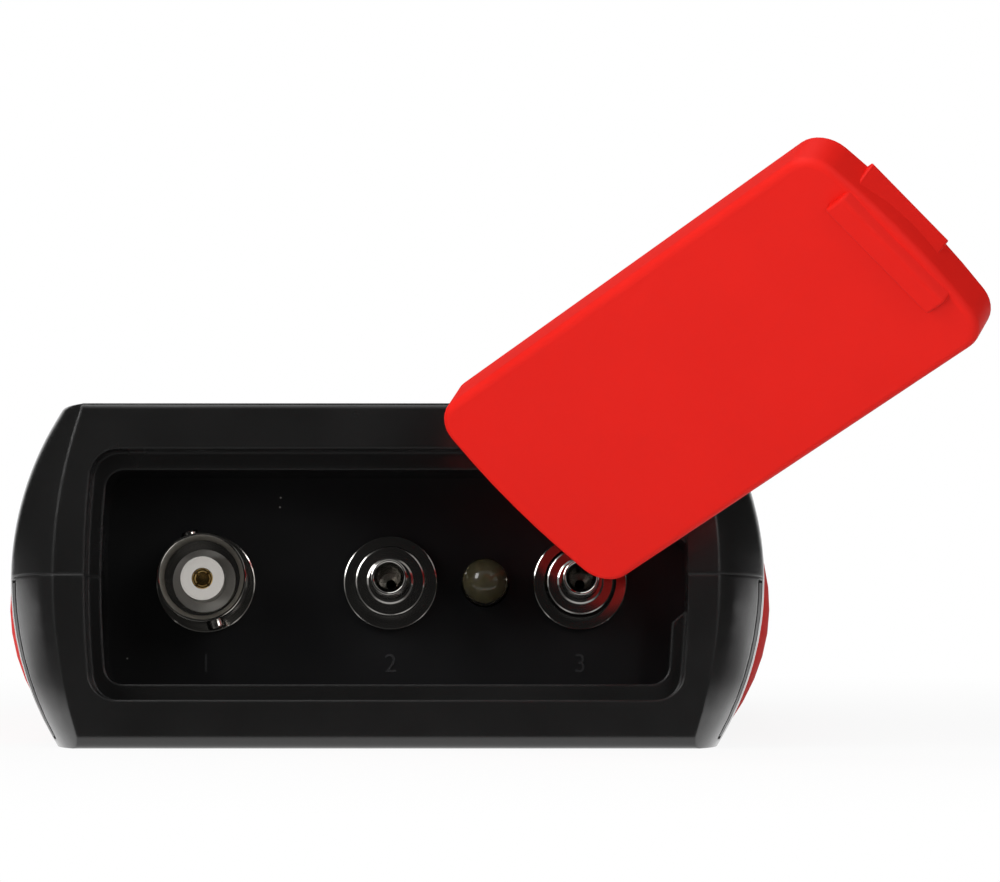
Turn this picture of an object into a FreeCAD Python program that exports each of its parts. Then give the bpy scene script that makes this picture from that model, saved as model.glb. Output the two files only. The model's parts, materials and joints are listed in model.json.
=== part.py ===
import FreeCAD, Part
import math
import os

V = FreeCAD.Vector
os.makedirs("parts", exist_ok=True)

# Sizes are in millimetres, angles in degrees
# X runs across the tester, Y from the port end to the tail, Z up from the parting plane

# Case
LENGTH = 180.0
FRONT_H = 18.3
REAR_H = 18.6
WEDGE = 4.0
HALF_W = 40.6
SIDE_BOW = 5.6
RIDGE_IN = 5.1
RIDGE_BOW = 3.1
SHOULDER = 9.5
TAIL_SHOULDER = 6.0
FRONT_EDGE_R = 0.7
REAR_EDGE_R = 1.3
WALL = 2.4
SIDE_WALL = 2.6
INSERT = 0.2
REACH = 60.0

# Recess at the port end
RIM_W = 3.4
RIM_H = 4.9
MOUTH_BOW = 0.8
MOUTH_R = 3.0
LEDGE_DEPTH = 5.0
LEDGE_W = 1.5
LEDGE_H = 1.9
POCKET_BOW = 0.6
POCKET_R = 2.0
FLOOR = 17.0
NOTCH_H = 7.2
NOTCH_H_IN = 9.6
NOTCH_IN = 3.0
NOTCH_RIM = 0.1

# Port panel
PANEL_T = 2.5
PANEL_LAP_W = 0.9
PANEL_LAP_H = 1.1
PANEL_SCREW_X = 14.0
PANEL_SCREW_IN = 1.5
PANEL_SCREW_R = 0.9
PANEL_SCREW_BITE = 7.0
PANEL_HEAD_R = 1.7
PANEL_HEAD_T = 1.2

# Coaxial jack
BNC_IN = 12.2
BNC_TIP = 5.4
BNC_R = 4.8
BNC_CUP_R = 4.05
BNC_CUP_DEPTH = 8.2
BNC_LEAD = 0.45
BNC_LEAD_DEPTH = 0.6
BNC_FLANGE_R = 5.4
BNC_FLANGE_T = 1.2
BNC_THREAD_R = 4.6
BNC_THREAD_L = 10.0
BNC_LUG_R = 1.0
BNC_LUG_REACH = 5.475
BNC_LUG_DEPTH = 5.0
BNC_LUG_TURN = 16.5
BNC_PTFE_R = 3.4
BNC_PTFE_DEPTH = 6.8
BNC_PTFE_TIP_R = 2.35
BNC_PTFE_TIP_DEPTH = 1.8
BNC_PIN_R = 1.15
BNC_PIN_DEPTH = 2.6
BNC_PIN_BORE_R = 0.68
BNC_PIN_BORE = 5.0
BNC_PIN_SLIT = 0.24
BNC_PIN_SLIT_L = 3.5
BNC_PIN_TAIL = 3.0
BNC_WASHER_R = 6.6
BNC_WASHER_T = 0.8
BNC_NUT_ACROSS = 12.7
BNC_NUT_T = 2.4

# Power meter and laser adapters
OPM_X = 0.2
VFL_IN = 11.3
FIBRE_TIP = 5.4
FERRULE_R = 1.25
FERRULE_SINK = 2.0
TUBE_R = 1.95
TUBE_MOUTH_R = 1.6
TUBE_LEAD = 0.5
OPM_BOSS_R = 3.8
VFL_BOSS_R = 3.9
FIBRE_FLANGE_R = 5.1
FIBRE_FLANGE_T = 1.6
FIBRE_FLANGE_EDGE = 0.4
FIBRE_BOSS_T = 2.8
FIBRE_THREAD_R = 3.6
FIBRE_THREAD_L = 7.0
FIBRE_NUT_ACROSS = 9.0
FIBRE_NUT_T = 2.4
APERTURE_R = 0.55
DETECTOR_R = 2.75
DETECTOR_L = 4.5
LASER_R = 4.4
LASER_L = 10.0

# Torch lamp
LED_R = 2.5
LED_TIP = 10.0
LED_RIM_R = 2.9
LED_RIM_T = 1.0
LED_FIT = 0.1
LED_LEG_R = 0.3
LED_LEG_X = 1.27
LED_LEG_LAP = 3.0

# Port cover, drawn in its seat and then placed as it hangs open
COVER_FIT_L = 0.7
COVER_FIT_H = 0.35
COVER_BOW = 1.1
COVER_R = 3.0
COVER_T = 4.4
COVER_PROUD = 1.0
COVER_SKIN = 2.2
COVER_SKIRT = 1.4
COVER_EDGE_R = 0.9
COVER_TURN = 140.27
COVER_TILT = 47.81
COVER_TILT_AXIS = 30.4
TILT_PAST = 5.0
SLOT_SPARE = 1.0
STALK_IN_X = 6.28
STALK_IN_Z = 5.44
PIVOT_SEATED = 6.0
DRAW = 12.64
PRESS = 4.4
BALL_R = 2.0
RUBBER_GAP = 0.3
BOSS_R = 3.4
BOSS_REACH = 1.3
SLOT_REACH = 5.0
STEM_R = 1.1
STALK_R = 1.4
COLLAR_R = 1.8
COLLAR_FROM = 4.6
COLLAR_T = 1.4
SLEEVE_R = 2.5
SLEEVE_PROUD = 0.4
SLEEVE_PLAY = 0.2
SLEEVE_FLANGE_R = 3.2
SLEEVE_FLANGE_T = 1.2
BULB_R = 2.3
BULB_L = 3.0
BULB_EDGE_R = 0.8
GRIP_BAR_L = 14.8
GRIP_BAR_W = 3.1
GRIP_BAR_H = 1.0
GRIP_BAR_IN = 1.4
GRIP_BAR_FOOT = 0.4
GRIP_BAR_ROOT = 0.9
GRIP_BAR_EDGE = 0.3
TONGUE_L = 11.7
TONGUE_OUT = 0.25
TONGUE_IN = 1.2
TONGUE_T = 1.6

# Display and keys
KEY_TAIL = 55.0
KEY_PITCH_X = 19.0
KEY_PITCH_Y = 14.0
KEY_GAP = 0.25
KEY_W = 6.8
KEY_L = 4.4
KEY_R = 1.6
KEY_PROUD = 1.2
KEY_EDGE_R = 0.6
KEY_FLANGE = 0.8
KEY_FLANGE_T = 1.0
KEY_TRAVEL = 0.9
PAD_R = 3.0
PAD_H = 0.4
PAD_GAP = 0.1
MAT_T = 1.0
MAT_MARGIN = 2.7
MAT_R = 2.0
KEY_BOARD_T = 1.6
SPACER_R = 2.2
SPACER_IN = 3.3
GLASS_W = 29.5
GLASS_Y0 = 30.0
GLASS_TO_KEYS = 8.6
GLASS_T = 1.6
GLASS_R = 3.0
VIEW_SIDE = 3.0
VIEW_TOP = 4.0
VIEW_FOOT = 6.0
VIEW_R = 1.5
LCD_SIDE = 1.0
LCD_END = 2.0
LCD_T = 3.0
GASKET_T = 0.5
BRACKET_T = 0.8
BRACKET_RIM_W = 6.0
BRACKET_RIM_L = 8.0
BRACKET_LEG = 5.0
BRACKET_LEG_Y = 48.0
FLEX_W = 9.0
FLEX_T = 0.3
FLEX_FOOT = 6.0
FLEX_LAP = 1.2

# Boards, battery and tail sockets
BOARD_Z = 0.2
BOARD_T = 1.6
BOARD_Y0 = 36.0
BOARD_TAIL = 4.0
BOARD_IN = 6.6
BOARD_GAP = 0.8
BOARD_POST_IN = 9.2
BOARD_POST_Y0 = 47.0
BOARD_POST_TAIL = 30.0
BOARD_POST_R = 2.6
BOARD_SCREW_R = 1.1
BOARD_SCREW_BITE = 6.0
BOARD_HEAD_R = 2.1
BOARD_HEAD_T = 1.2
JACK_W = 16.0
JACK_H = 13.4
JACK_D = 20.6
JACK_X = (-17.0, 2.0)
JACK_IN = 0.4
PLUG_W = 11.8
PLUG_H = 8.2
PLUG_D = 14.0
PLUG_UP = 3.4
LATCH_W = 6.2
LATCH_D = 9.0
LATCH_H = 1.6
HOOK_W = 4.0
HOOK_D = 7.0
HOOK_H = 2.6
WIRES = 8
WIRE_PITCH = 1.02
WIRE_W = 0.4
WIRE_FACE = 4.0
WIRE_DROP = 2.6
WIRE_T = 0.6
USB_X = 20.0
USB_W = 9.0
USB_H = 3.2
USB_D = 8.0
USB_R = 1.2
USB_WALL = 0.35
USB_BACK = 1.5
USB_TONGUE_W = 6.6
USB_TONGUE_T = 0.7
USB_TONGUE_IN = 0.6
BATTERY_W = 27.0
BATTERY_Y0 = 52.0
BATTERY_L = 66.0
BATTERY_T = 7.2
BATTERY_R = 2.5
BUZZER_X = 14.0
BUZZER_R = 6.0
BUZZER_H = 4.0

# Side grips, and the thin bands let into the shoulders of the rear half
GRIP_TOP = 5.0
GRIP_LOW = -12.5
GRIP_PROUD = 1.6
GRIP_LIP = 0.3
GRIP_SINK = 1.2
GRIP_SINK_LIP = 1.3
GRIP_SINK_IN = 0.5
GRIP_Y0 = 18.0
GRIP_TAIL = 16.0
GRIP_RAMP = 10.0
GRIP_LIFT = 1.6
BAND_Y0 = 5.6
BAND_W = 0.9
BAND_GAP = 0.3
BAND_SINK = 1.2
BAND_TOP = -0.6
BAND_FOOT = 1.6

# Case screws
BOSS_IN = 8.6
BOSS_Y0 = 26.0
BOSS_TAIL = 12.0
CASE_BOSS_R = 3.2
SCREW_R = 1.3
SCREW_TOP = 9.0
SCREW_HEAD_R = 2.6
SCREW_HEAD_T = 1.8
SCREW_HEAD_GAP = 0.1
SCREW_SINK = 0.6
SCREW_SLOT_W = 0.8
SCREW_SLOT_L = 3.6
SCREW_SLOT_T = 0.8

# Sizes that follow from the ones above
SLOPE = math.tan(math.radians(WEDGE))
AXIS = V(0, 1, 0)
HALF_W_EDGE = HALF_W - SIDE_BOW
RIDGE_W = HALF_W - RIDGE_IN
RIDGE_W_EDGE = RIDGE_W - RIDGE_BOW
INNER_TOP = FRONT_H - WALL
MOUTH_W = RIDGE_W - RIM_W
MOUTH_H = FRONT_H - RIM_H
POCKET_W = MOUTH_W - LEDGE_W
BNC_X = BNC_IN - MOUTH_W
VFL_X = MOUTH_W - VFL_IN
LED_X = (OPM_X + VFL_X) / 2
POCKET_H = MOUTH_H - LEDGE_H
PANEL_W = MOUTH_W + PANEL_LAP_W
PANEL_H = MOUTH_H + PANEL_LAP_H
PANEL_BACK = FLOOR + PANEL_T
PANEL_SCREW_Z = PANEL_H - PANEL_SCREW_IN
BNC_CUP_END = BNC_TIP + BNC_CUP_DEPTH
BNC_BACK = FLOOR + BNC_THREAD_L
FIBRE_BACK = FLOOR + FIBRE_THREAD_L
COVER_HALF_L = MOUTH_W - COVER_FIT_L
COVER_HALF_H = MOUTH_H - COVER_FIT_H
STALK_X = COVER_HALF_L - STALK_IN_X
STALK_Z = COVER_HALF_H - STALK_IN_Z
PIVOT_OPEN = PIVOT_SEATED - DRAW - PRESS
KEY_MID_Y = LENGTH - KEY_TAIL
KEY_BASE = INNER_TOP - KEY_FLANGE_T
PAD_TOP = KEY_BASE - KEY_TRAVEL - PAD_GAP
MAT_TOP = PAD_TOP - PAD_H
MAT_W = KEY_PITCH_X + KEY_W + MAT_MARGIN
MAT_L = KEY_PITCH_Y + KEY_L + MAT_MARGIN
KEY_BOARD_Z = MAT_TOP - MAT_T - KEY_BOARD_T
GLASS_Y1 = KEY_MID_Y - KEY_PITCH_Y - KEY_L - GLASS_TO_KEYS
VIEW_W = GLASS_W - VIEW_SIDE
VIEW_Y0 = GLASS_Y0 + VIEW_TOP
VIEW_Y1 = GLASS_Y1 - VIEW_FOOT
LCD_W = GLASS_W - LCD_SIDE
LCD_Y0 = GLASS_Y0 + LCD_END
LCD_Y1 = GLASS_Y1 - LCD_END
LCD_TOP = INNER_TOP - GASKET_T
LCD_BASE = LCD_TOP - LCD_T
BRACKET_BASE = LCD_BASE - BRACKET_T
BOSS_X = HALF_W - BOSS_IN
BOARD_W = HALF_W - BOARD_IN
BOARD_POST_X = HALF_W - BOARD_POST_IN
BOARD_TOP = BOARD_Z + BOARD_T
BOARD_Y1 = LENGTH - BOARD_TAIL
BOARD_POSTS = [(sx * BOARD_POST_X, y) for sx in (-1, 1) for y in (BOARD_POST_Y0, LENGTH - BOARD_POST_TAIL)]
JACK_FACE = LENGTH - JACK_IN
PLUG_BASE = BOARD_TOP + PLUG_UP
GRIP_Y1 = LENGTH - GRIP_TAIL
BOSSES = [(sx * BOSS_X, y) for sx in (-1, 1) for y in (BOSS_Y0, LENGTH - BOSS_TAIL)]


def box(x0, x1, y0, y1, z0, z1):
    return Part.makeBox(x1 - x0, y1 - y0, z1 - z0, V(x0, y0, z0))


def rod(x, z, y0, y1, r):
    return Part.makeCylinder(r, y1 - y0, V(x, y0, z), AXIS)


def post(x, y, z0, z1, r):
    return Part.makeCylinder(r, z1 - z0, V(x, y, z0), V(0, 0, 1))


def prism(points, along):
    return Part.Face(Part.makePolygon(points + points[:1])).extrude(along)


def join(shapes):
    return shapes[0].multiFuse(shapes[1:]).removeSplitter()


def round_along(solid, direction, radius):
    edges = []
    for e in solid.Edges:
        a, b = e.Vertexes[0].Point, e.Vertexes[-1].Point
        if e.Curve.TypeId == "Part::GeomLine" and abs((b - a).normalize().dot(direction)) > 0.999:
            edges.append(e)
    return solid.makeFillet(radius, edges)


def slab(x0, x1, y0, y1, z0, z1, radius):
    return round_along(box(x0, x1, y0, y1, z0, z1), V(0, 0, 1), radius)


def section(y, mid, edge, top, low):
    side = Part.Arc(V(edge, y, top), V(mid, y, 0), V(edge, y, -low)).toShape()
    other = Part.Arc(V(-edge, y, -low), V(-mid, y, 0), V(-edge, y, top)).toShape()
    up = Part.makeLine(V(-edge, y, top), V(edge, y, top))
    down = Part.makeLine(V(edge, y, -low), V(-edge, y, -low))
    return Part.Wire([up, side, down, other])


def bowed(y0, y1, mid, bow, half_h, radius):
    corner = mid - bow
    right = Part.Arc(V(corner, y0, half_h), V(mid, y0, 0), V(corner, y0, -half_h)).toShape()
    left = Part.Arc(V(-corner, y0, -half_h), V(-mid, y0, 0), V(-corner, y0, half_h)).toShape()
    up = Part.makeLine(V(-corner, y0, half_h), V(corner, y0, half_h))
    down = Part.makeLine(V(corner, y0, -half_h), V(-corner, y0, -half_h))
    solid = Part.Face(Part.Wire([up, right, down, left])).extrude(V(0, y1 - y0, 0))
    return round_along(solid, AXIS, radius)


def side_x(z):
    # Half the width of the case at a height, on the arc of its side
    half_chord = (FRONT_H + REAR_H) / 2
    radius = (half_chord ** 2 + SIDE_BOW ** 2) / (2 * SIDE_BOW)
    return HALF_W - radius + math.sqrt(radius ** 2 - z ** 2)


def rear_z(y):
    return -REAR_H + y * SLOPE


def shoulder_share(depth, run):
    # Part of the way from the ridge to the full width, along one arc
    radius = (RIDGE_IN ** 2 + run ** 2) / (2 * RIDGE_IN)
    return (RIDGE_IN - radius + math.sqrt(radius ** 2 - (run - depth) ** 2)) / RIDGE_IN


def shoulder_section(y, depth, run, sink):
    share = shoulder_share(depth, run)
    mid = RIDGE_W + share * (HALF_W - RIDGE_W)
    edge = RIDGE_W_EDGE + share * (HALF_W_EDGE - RIDGE_W_EDGE)
    return section(y, mid - sink, edge - sink, FRONT_H, REAR_H)


def shoulder(end, inward, run):
    steps = 4
    depths = [run * i / steps for i in range(steps + 1)]
    return Part.makeLoft([shoulder_section(end + inward * d, d, run, 0) for d in depths], True, False)


def wedge_prism(lift):
    # Everything above the sloping rear plane, raised by lift
    up = lift / math.cos(math.radians(WEDGE))
    y0, y1 = -REACH, LENGTH + REACH
    points = [V(-REACH, y0, rear_z(y0) + up), V(-REACH, y1, rear_z(y1) + up), V(-REACH, y1, REACH),
              V(-REACH, y0, REACH)]
    return prism(points, V(2 * REACH, 0, 0))


def outer_hull():
    y0, y1 = SHOULDER, LENGTH - TAIL_SHOULDER
    middle = Part.Face(section(y0, HALF_W, HALF_W_EDGE, FRONT_H, REAR_H)).extrude(V(0, y1 - y0, 0))
    hull = join([shoulder(0, 1, SHOULDER), middle, shoulder(LENGTH, -1, TAIL_SHOULDER)])
    hull = hull.common(wedge_prism(0)).Solids[0]
    top = [e for e in hull.Edges if e.BoundBox.ZMin > FRONT_H - 0.01]
    rim = [e for e in top if e.BoundBox.YLength > 0.01 or not 0.1 < e.BoundBox.YMin < LENGTH - 0.1]
    hull = hull.makeFillet(FRONT_EDGE_R, rim)
    low = [e for e in hull.Edges if e.BoundBox.YMax < 0.05 and e.BoundBox.ZMax < -REAR_H + 0.05]
    return hull.makeFillet(REAR_EDGE_R, low)


def cavity():
    y0, y1 = FLOOR, LENGTH - WALL
    wire = section(y0, HALF_W - SIDE_WALL, HALF_W_EDGE - SIDE_WALL, INNER_TOP, REAR_H)
    return Part.Face(wire).extrude(V(0, y1 - y0, 0)).common(wedge_prism(WALL))


def recess():
    deep = FLOOR + INSERT
    mouth = bowed(-REACH, LEDGE_DEPTH, MOUTH_W, MOUTH_BOW, MOUTH_H, MOUTH_R)
    pocket = bowed(0, deep, POCKET_W, POCKET_BOW, POCKET_H, POCKET_R)
    x0, x1, x2 = POCKET_W - NOTCH_IN, POCKET_W, MOUTH_W - NOTCH_RIM
    a, b = NOTCH_H_IN / 2, NOTCH_H / 2
    points = [V(x0, 0, a), V(x1, 0, a), V(x2, 0, b), V(x2, 0, -b), V(x1, 0, -a), V(x0, 0, -a)]
    return join([mouth, pocket, prism(points, V(0, deep, 0))])


def side_grip(sign):
    # A crescent let into the side of the case, thinning towards both ends
    top, low = GRIP_TOP, GRIP_LOW
    mid = (top + low) / 2
    outer = [(side_x(top) + GRIP_LIP, top), (side_x(mid) + GRIP_PROUD, mid), (side_x(low) + GRIP_LIP, low)]
    inner = [(side_x(low) - GRIP_SINK_LIP, low + GRIP_SINK_IN), (side_x(mid) - GRIP_SINK, mid),
             (side_x(top) - GRIP_SINK_LIP, top - GRIP_SINK_IN)]
    outer = [V(sign * x, GRIP_Y0, z) for x, z in outer]
    inner = [V(sign * x, GRIP_Y0, z) for x, z in inner]
    wire = Part.Wire([Part.Arc(*outer).toShape(), Part.makeLine(outer[2], inner[0]),
                      Part.Arc(*inner).toShape(), Part.makeLine(inner[2], outer[0])])
    body = Part.Face(wire).extrude(V(0, GRIP_Y1 - GRIP_Y0, 0))
    flush, full, deep = side_x(mid), side_x(mid) + GRIP_PROUD + GRIP_LIP, side_x(mid) - SIDE_WALL - SIDE_BOW
    plan = [(deep, GRIP_Y0), (flush, GRIP_Y0), (full, GRIP_Y0 + GRIP_RAMP), (full, GRIP_Y1 - GRIP_RAMP),
            (flush, GRIP_Y1), (deep, GRIP_Y1)]
    body = body.common(prism([V(sign * x, y, -REAR_H) for x, y in plan], V(0, 0, FRONT_H + REAR_H)))
    return body.common(wedge_prism(GRIP_LIFT)).Solids[0]


def shoulder_band(hull, sign, gap):
    # A strip of the rear half's shoulder, from under the parting line to the rear face
    y0, y1 = BAND_Y0 - gap, BAND_Y0 + BAND_W + gap
    strip = hull.common(box(0, REACH, y0, y1, -REAR_H + BAND_FOOT - gap, BAND_TOP + gap))
    floor = shoulder_section(y0, BAND_Y0, SHOULDER, BAND_SINK)
    strip = strip.cut(Part.Face(floor).extrude(V(0, y1 - y0, 0))).Solids[0]
    return strip if sign > 0 else strip.mirror(V(0, 0, 0), V(1, 0, 0))


def hexagon(x, y0, y1, across, hole_r):
    r = across / math.sqrt(3)
    turns = [math.radians(60 * i) for i in range(6)]
    points = [V(x + r * math.cos(t), y0, r * math.sin(t)) for t in turns]
    return prism(points, V(0, y1 - y0, 0)).cut(rod(x, 0, y0, y1, hole_r))


def case_screw(x, y):
    base = rear_z(y) + SCREW_SINK
    under = base + SCREW_HEAD_T
    head = post(x, y, base, under, SCREW_HEAD_R - SCREW_HEAD_GAP)
    shank = post(x, y, under, SCREW_TOP, SCREW_R)
    w, l, top = SCREW_SLOT_W / 2, SCREW_SLOT_L / 2, base + SCREW_SLOT_T
    slot = box(x - w, x + w, y - l, y + l, base - 1, top)
    cross = box(x - l, x + l, y - w, y + w, base - 1, top)
    return join([head, shank]).cut(slot).cut(cross)


def panel_screw(x, z):
    head = rod(x, z, PANEL_BACK, PANEL_BACK + PANEL_HEAD_T, PANEL_HEAD_R)
    return join([head, rod(x, z, FLOOR - PANEL_SCREW_BITE, PANEL_BACK, PANEL_SCREW_R)])


def board_screw(x, y):
    head = post(x, y, BOARD_Z - BOARD_HEAD_T, BOARD_Z, BOARD_HEAD_R)
    return join([head, post(x, y, BOARD_Z, BOARD_TOP + BOARD_SCREW_BITE, BOARD_SCREW_R)])


def key_centre(i):
    # Counted from the left of someone who holds the tester with its port end up
    return ((1 - i % 3) * KEY_PITCH_X, KEY_MID_Y + (i // 3 - 1) * KEY_PITCH_Y)


def key(i):
    x, y = key_centre(i)
    top = FRONT_H + KEY_PROUD
    cap = slab(x - KEY_W, x + KEY_W, y - KEY_L, y + KEY_L, KEY_BASE, top, KEY_R)
    cap = cap.makeFillet(KEY_EDGE_R, [e for e in cap.Edges if e.BoundBox.ZMin > top - 0.01])
    f = KEY_FLANGE
    flange = slab(x - KEY_W - f, x + KEY_W + f, y - KEY_L - f, y + KEY_L + f, KEY_BASE, INNER_TOP, KEY_R + f)
    return join([cap, flange])


def fibre_adapter(x, boss_r):
    flange_y = FLOOR - FIBRE_FLANGE_T
    boss_y = flange_y - FIBRE_BOSS_T
    flange = rod(x, 0, flange_y, FLOOR, FIBRE_FLANGE_R)
    rim = [e for e in flange.Edges if e.BoundBox.YMax < flange_y + 0.01]
    flange = flange.makeFillet(FIBRE_FLANGE_EDGE, rim)
    boss = rod(x, 0, boss_y, flange_y, boss_r)
    tube = rod(x, 0, FIBRE_TIP, boss_y, TUBE_R)
    thread = rod(x, 0, FLOOR, FIBRE_BACK, FIBRE_THREAD_R)
    lead = Part.makeCone(TUBE_MOUTH_R, FERRULE_R, TUBE_LEAD, V(x, FIBRE_TIP, 0), AXIS)
    bore = rod(x, 0, FIBRE_TIP, FLOOR + FERRULE_SINK, FERRULE_R)
    hole = rod(x, 0, FLOOR, FIBRE_BACK, APERTURE_R)
    return join([flange, boss, tube, thread]).cut(lead).cut(bore).cut(hole)


def bnc_shell():
    flange = rod(BNC_X, 0, FLOOR - BNC_FLANGE_T, FLOOR, BNC_FLANGE_R)
    barrel = rod(BNC_X, 0, BNC_TIP, FLOOR - BNC_FLANGE_T, BNC_R)
    thread = rod(BNC_X, 0, FLOOR, BNC_BACK, BNC_THREAD_R)
    turn = math.radians(BNC_LUG_TURN)
    along = V(-math.sin(turn), 0, math.cos(turn))
    start = V(BNC_X, BNC_TIP + BNC_LUG_DEPTH, 0) - along * BNC_LUG_REACH
    lugs = Part.makeCylinder(BNC_LUG_R, 2 * BNC_LUG_REACH, start, along)
    cup = rod(BNC_X, 0, BNC_TIP, BNC_CUP_END, BNC_CUP_R)
    lead = Part.makeCone(BNC_CUP_R + BNC_LEAD, BNC_CUP_R, BNC_LEAD_DEPTH, V(BNC_X, BNC_TIP, 0), AXIS)
    seat = rod(BNC_X, 0, BNC_TIP, BNC_BACK, BNC_PTFE_R)
    return join([flange, barrel, thread, lugs]).cut(cup).cut(lead).cut(seat)


def bnc_insulator():
    step, tip = BNC_TIP + BNC_PTFE_DEPTH, BNC_TIP + BNC_PTFE_TIP_DEPTH
    body = join([rod(BNC_X, 0, step, BNC_BACK, BNC_PTFE_R), rod(BNC_X, 0, tip, step, BNC_PTFE_TIP_R)])
    return body.cut(rod(BNC_X, 0, tip, BNC_BACK, BNC_PIN_R))


def bnc_contact():
    tip = BNC_TIP + BNC_PIN_DEPTH
    pin = rod(BNC_X, 0, tip, BNC_BACK + BNC_PIN_TAIL, BNC_PIN_R)
    pin = pin.cut(rod(BNC_X, 0, tip, tip + BNC_PIN_BORE, BNC_PIN_BORE_R))
    for turn in (45, 135):
        slit = box(-BNC_R, BNC_R, tip, tip + BNC_PIN_SLIT_L, -BNC_PIN_SLIT / 2, BNC_PIN_SLIT / 2)
        slit.rotate(V(0, 0, 0), AXIS, turn)
        slit.translate(V(BNC_X, 0, 0))
        pin = pin.cut(slit)
    return pin


def bnc_washer():
    back = PANEL_BACK + BNC_WASHER_T
    return rod(BNC_X, 0, PANEL_BACK, back, BNC_WASHER_R).cut(rod(BNC_X, 0, PANEL_BACK, back, BNC_THREAD_R))


def torch_led():
    dome = Part.makeSphere(LED_R, V(LED_X, LED_TIP + LED_R, 0))
    body = rod(LED_X, 0, LED_TIP + LED_R, PANEL_BACK, LED_R)
    rim = rod(LED_X, 0, PANEL_BACK, PANEL_BACK + LED_RIM_T, LED_RIM_R)
    z = BOARD_TOP + LED_LEG_R
    legs = [rod(LED_X + s * LED_LEG_X, z, PANEL_BACK, BOARD_Y0 + LED_LEG_LAP, LED_LEG_R) for s in (-1, 1)]
    return join([dome, body, rim] + legs)


def tilt_axis():
    angle = math.radians(COVER_TILT_AXIS)
    return V(math.cos(angle), 0, -math.sin(angle))


def swing_slot():
    # Room for the neck's stem, from straight behind the cover to its full tilt
    pivot = V(STALK_X, PIVOT_SEATED, STALK_Z)
    r = STEM_R + RUBBER_GAP
    swing = FreeCAD.Rotation(AXIS, -COVER_TURN).multVec(tilt_axis())
    full = COVER_TILT + TILT_PAST + SLOT_SPARE
    steps = 4
    ways = [FreeCAD.Rotation(swing, -full * i / steps).multVec(AXIS) * SLOT_REACH for i in range(steps + 1)]
    start = pivot - swing * r
    fan = prism([start] + [start + way for way in ways], swing * (2 * r))
    ends = [Part.makeCylinder(r, SLOT_REACH, pivot, way) for way in (ways[0], ways[-1])]
    return join([fan] + ends)


def cover_in_seat():
    front = -COVER_PROUD
    back = front + COVER_T
    outer = bowed(front, back, COVER_HALF_L, COVER_BOW, COVER_HALF_H, COVER_R)
    outer = outer.makeFillet(COVER_EDGE_R, [e for e in outer.Edges if e.BoundBox.YMax < front + 0.01])
    s = COVER_SKIRT
    inside = bowed(front + COVER_SKIN, back, COVER_HALF_L - s, COVER_BOW, COVER_HALF_H - s, COVER_R - s)
    x0 = -COVER_HALF_L
    x1 = x0 + GRIP_BAR_IN + GRIP_BAR_W
    top, root, z = front - GRIP_BAR_H, front + GRIP_BAR_ROOT, -GRIP_BAR_L / 2
    points = [V(x0 + GRIP_BAR_FOOT, root, z), V(x0 + GRIP_BAR_IN, top, z), V(x1, top, z), V(x1, root, z)]
    bar = prism(points, V(0, 0, GRIP_BAR_L))
    bar = bar.makeFillet(GRIP_BAR_EDGE, [e for e in bar.Edges if e.BoundBox.YMax < root - 0.01])
    tongue = box(x0 - TONGUE_OUT, x0 + TONGUE_IN, back - TONGUE_T, back, -TONGUE_L / 2, TONGUE_L / 2)
    boss = rod(STALK_X, STALK_Z, front + COVER_EDGE_R, PIVOT_SEATED + BOSS_REACH, BOSS_R)
    solid = join([outer.cut(inside), bar, tongue, boss])
    cup = Part.makeSphere(BALL_R + RUBBER_GAP, V(STALK_X, PIVOT_SEATED, STALK_Z), AXIS)
    return solid.cut(join([cup, swing_slot()])).Solids[0]


def cover_open(solid):
    # Moves the seated cover to where it hangs when drawn out, turned and tilted
    turn = FreeCAD.Rotation(tilt_axis(), COVER_TILT).multiply(FreeCAD.Rotation(AXIS, COVER_TURN))
    seated = V(STALK_X, PIVOT_SEATED, STALK_Z)
    drawn = V(STALK_X, PIVOT_OPEN, STALK_Z)
    solid.Placement = FreeCAD.Placement(drawn - turn.multVec(seated), turn)
    return solid


def cover_neck():
    collar_y = PIVOT_OPEN + COLLAR_FROM
    ball = Part.makeSphere(BALL_R, V(STALK_X, PIVOT_OPEN, STALK_Z))
    stem = rod(STALK_X, STALK_Z, PIVOT_OPEN, collar_y, STEM_R)
    return join([ball, stem, rod(STALK_X, STALK_Z, collar_y, collar_y + COLLAR_T, COLLAR_R)])


def cover_stalk():
    # The bulb stays behind the sleeve when the cover is tilted past its open pose
    spare = DRAW * TILT_PAST / COVER_TILT
    end = PANEL_BACK + SLEEVE_PLAY + SLEEVE_FLANGE_T + spare + RUBBER_GAP
    shaft = rod(STALK_X, STALK_Z, PIVOT_OPEN + COLLAR_FROM + COLLAR_T, end, STALK_R)
    bulb = rod(STALK_X, STALK_Z, end, end + BULB_L, BULB_R)
    bulb = bulb.makeFillet(BULB_EDGE_R, [e for e in bulb.Edges if e.BoundBox.YMin > end + BULB_L - 0.01])
    return join([shaft, bulb])


def cover_sleeve():
    y0 = FLOOR - SLEEVE_PROUD - PRESS
    y1 = PANEL_BACK + SLEEVE_PLAY
    y2 = y1 + SLEEVE_FLANGE_T
    body = join([rod(STALK_X, STALK_Z, y0, y2, SLEEVE_R), rod(STALK_X, STALK_Z, y1, y2, SLEEVE_FLANGE_R)])
    return body.cut(rod(STALK_X, STALK_Z, y0, y2, STALK_R + RUBBER_GAP))


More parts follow.
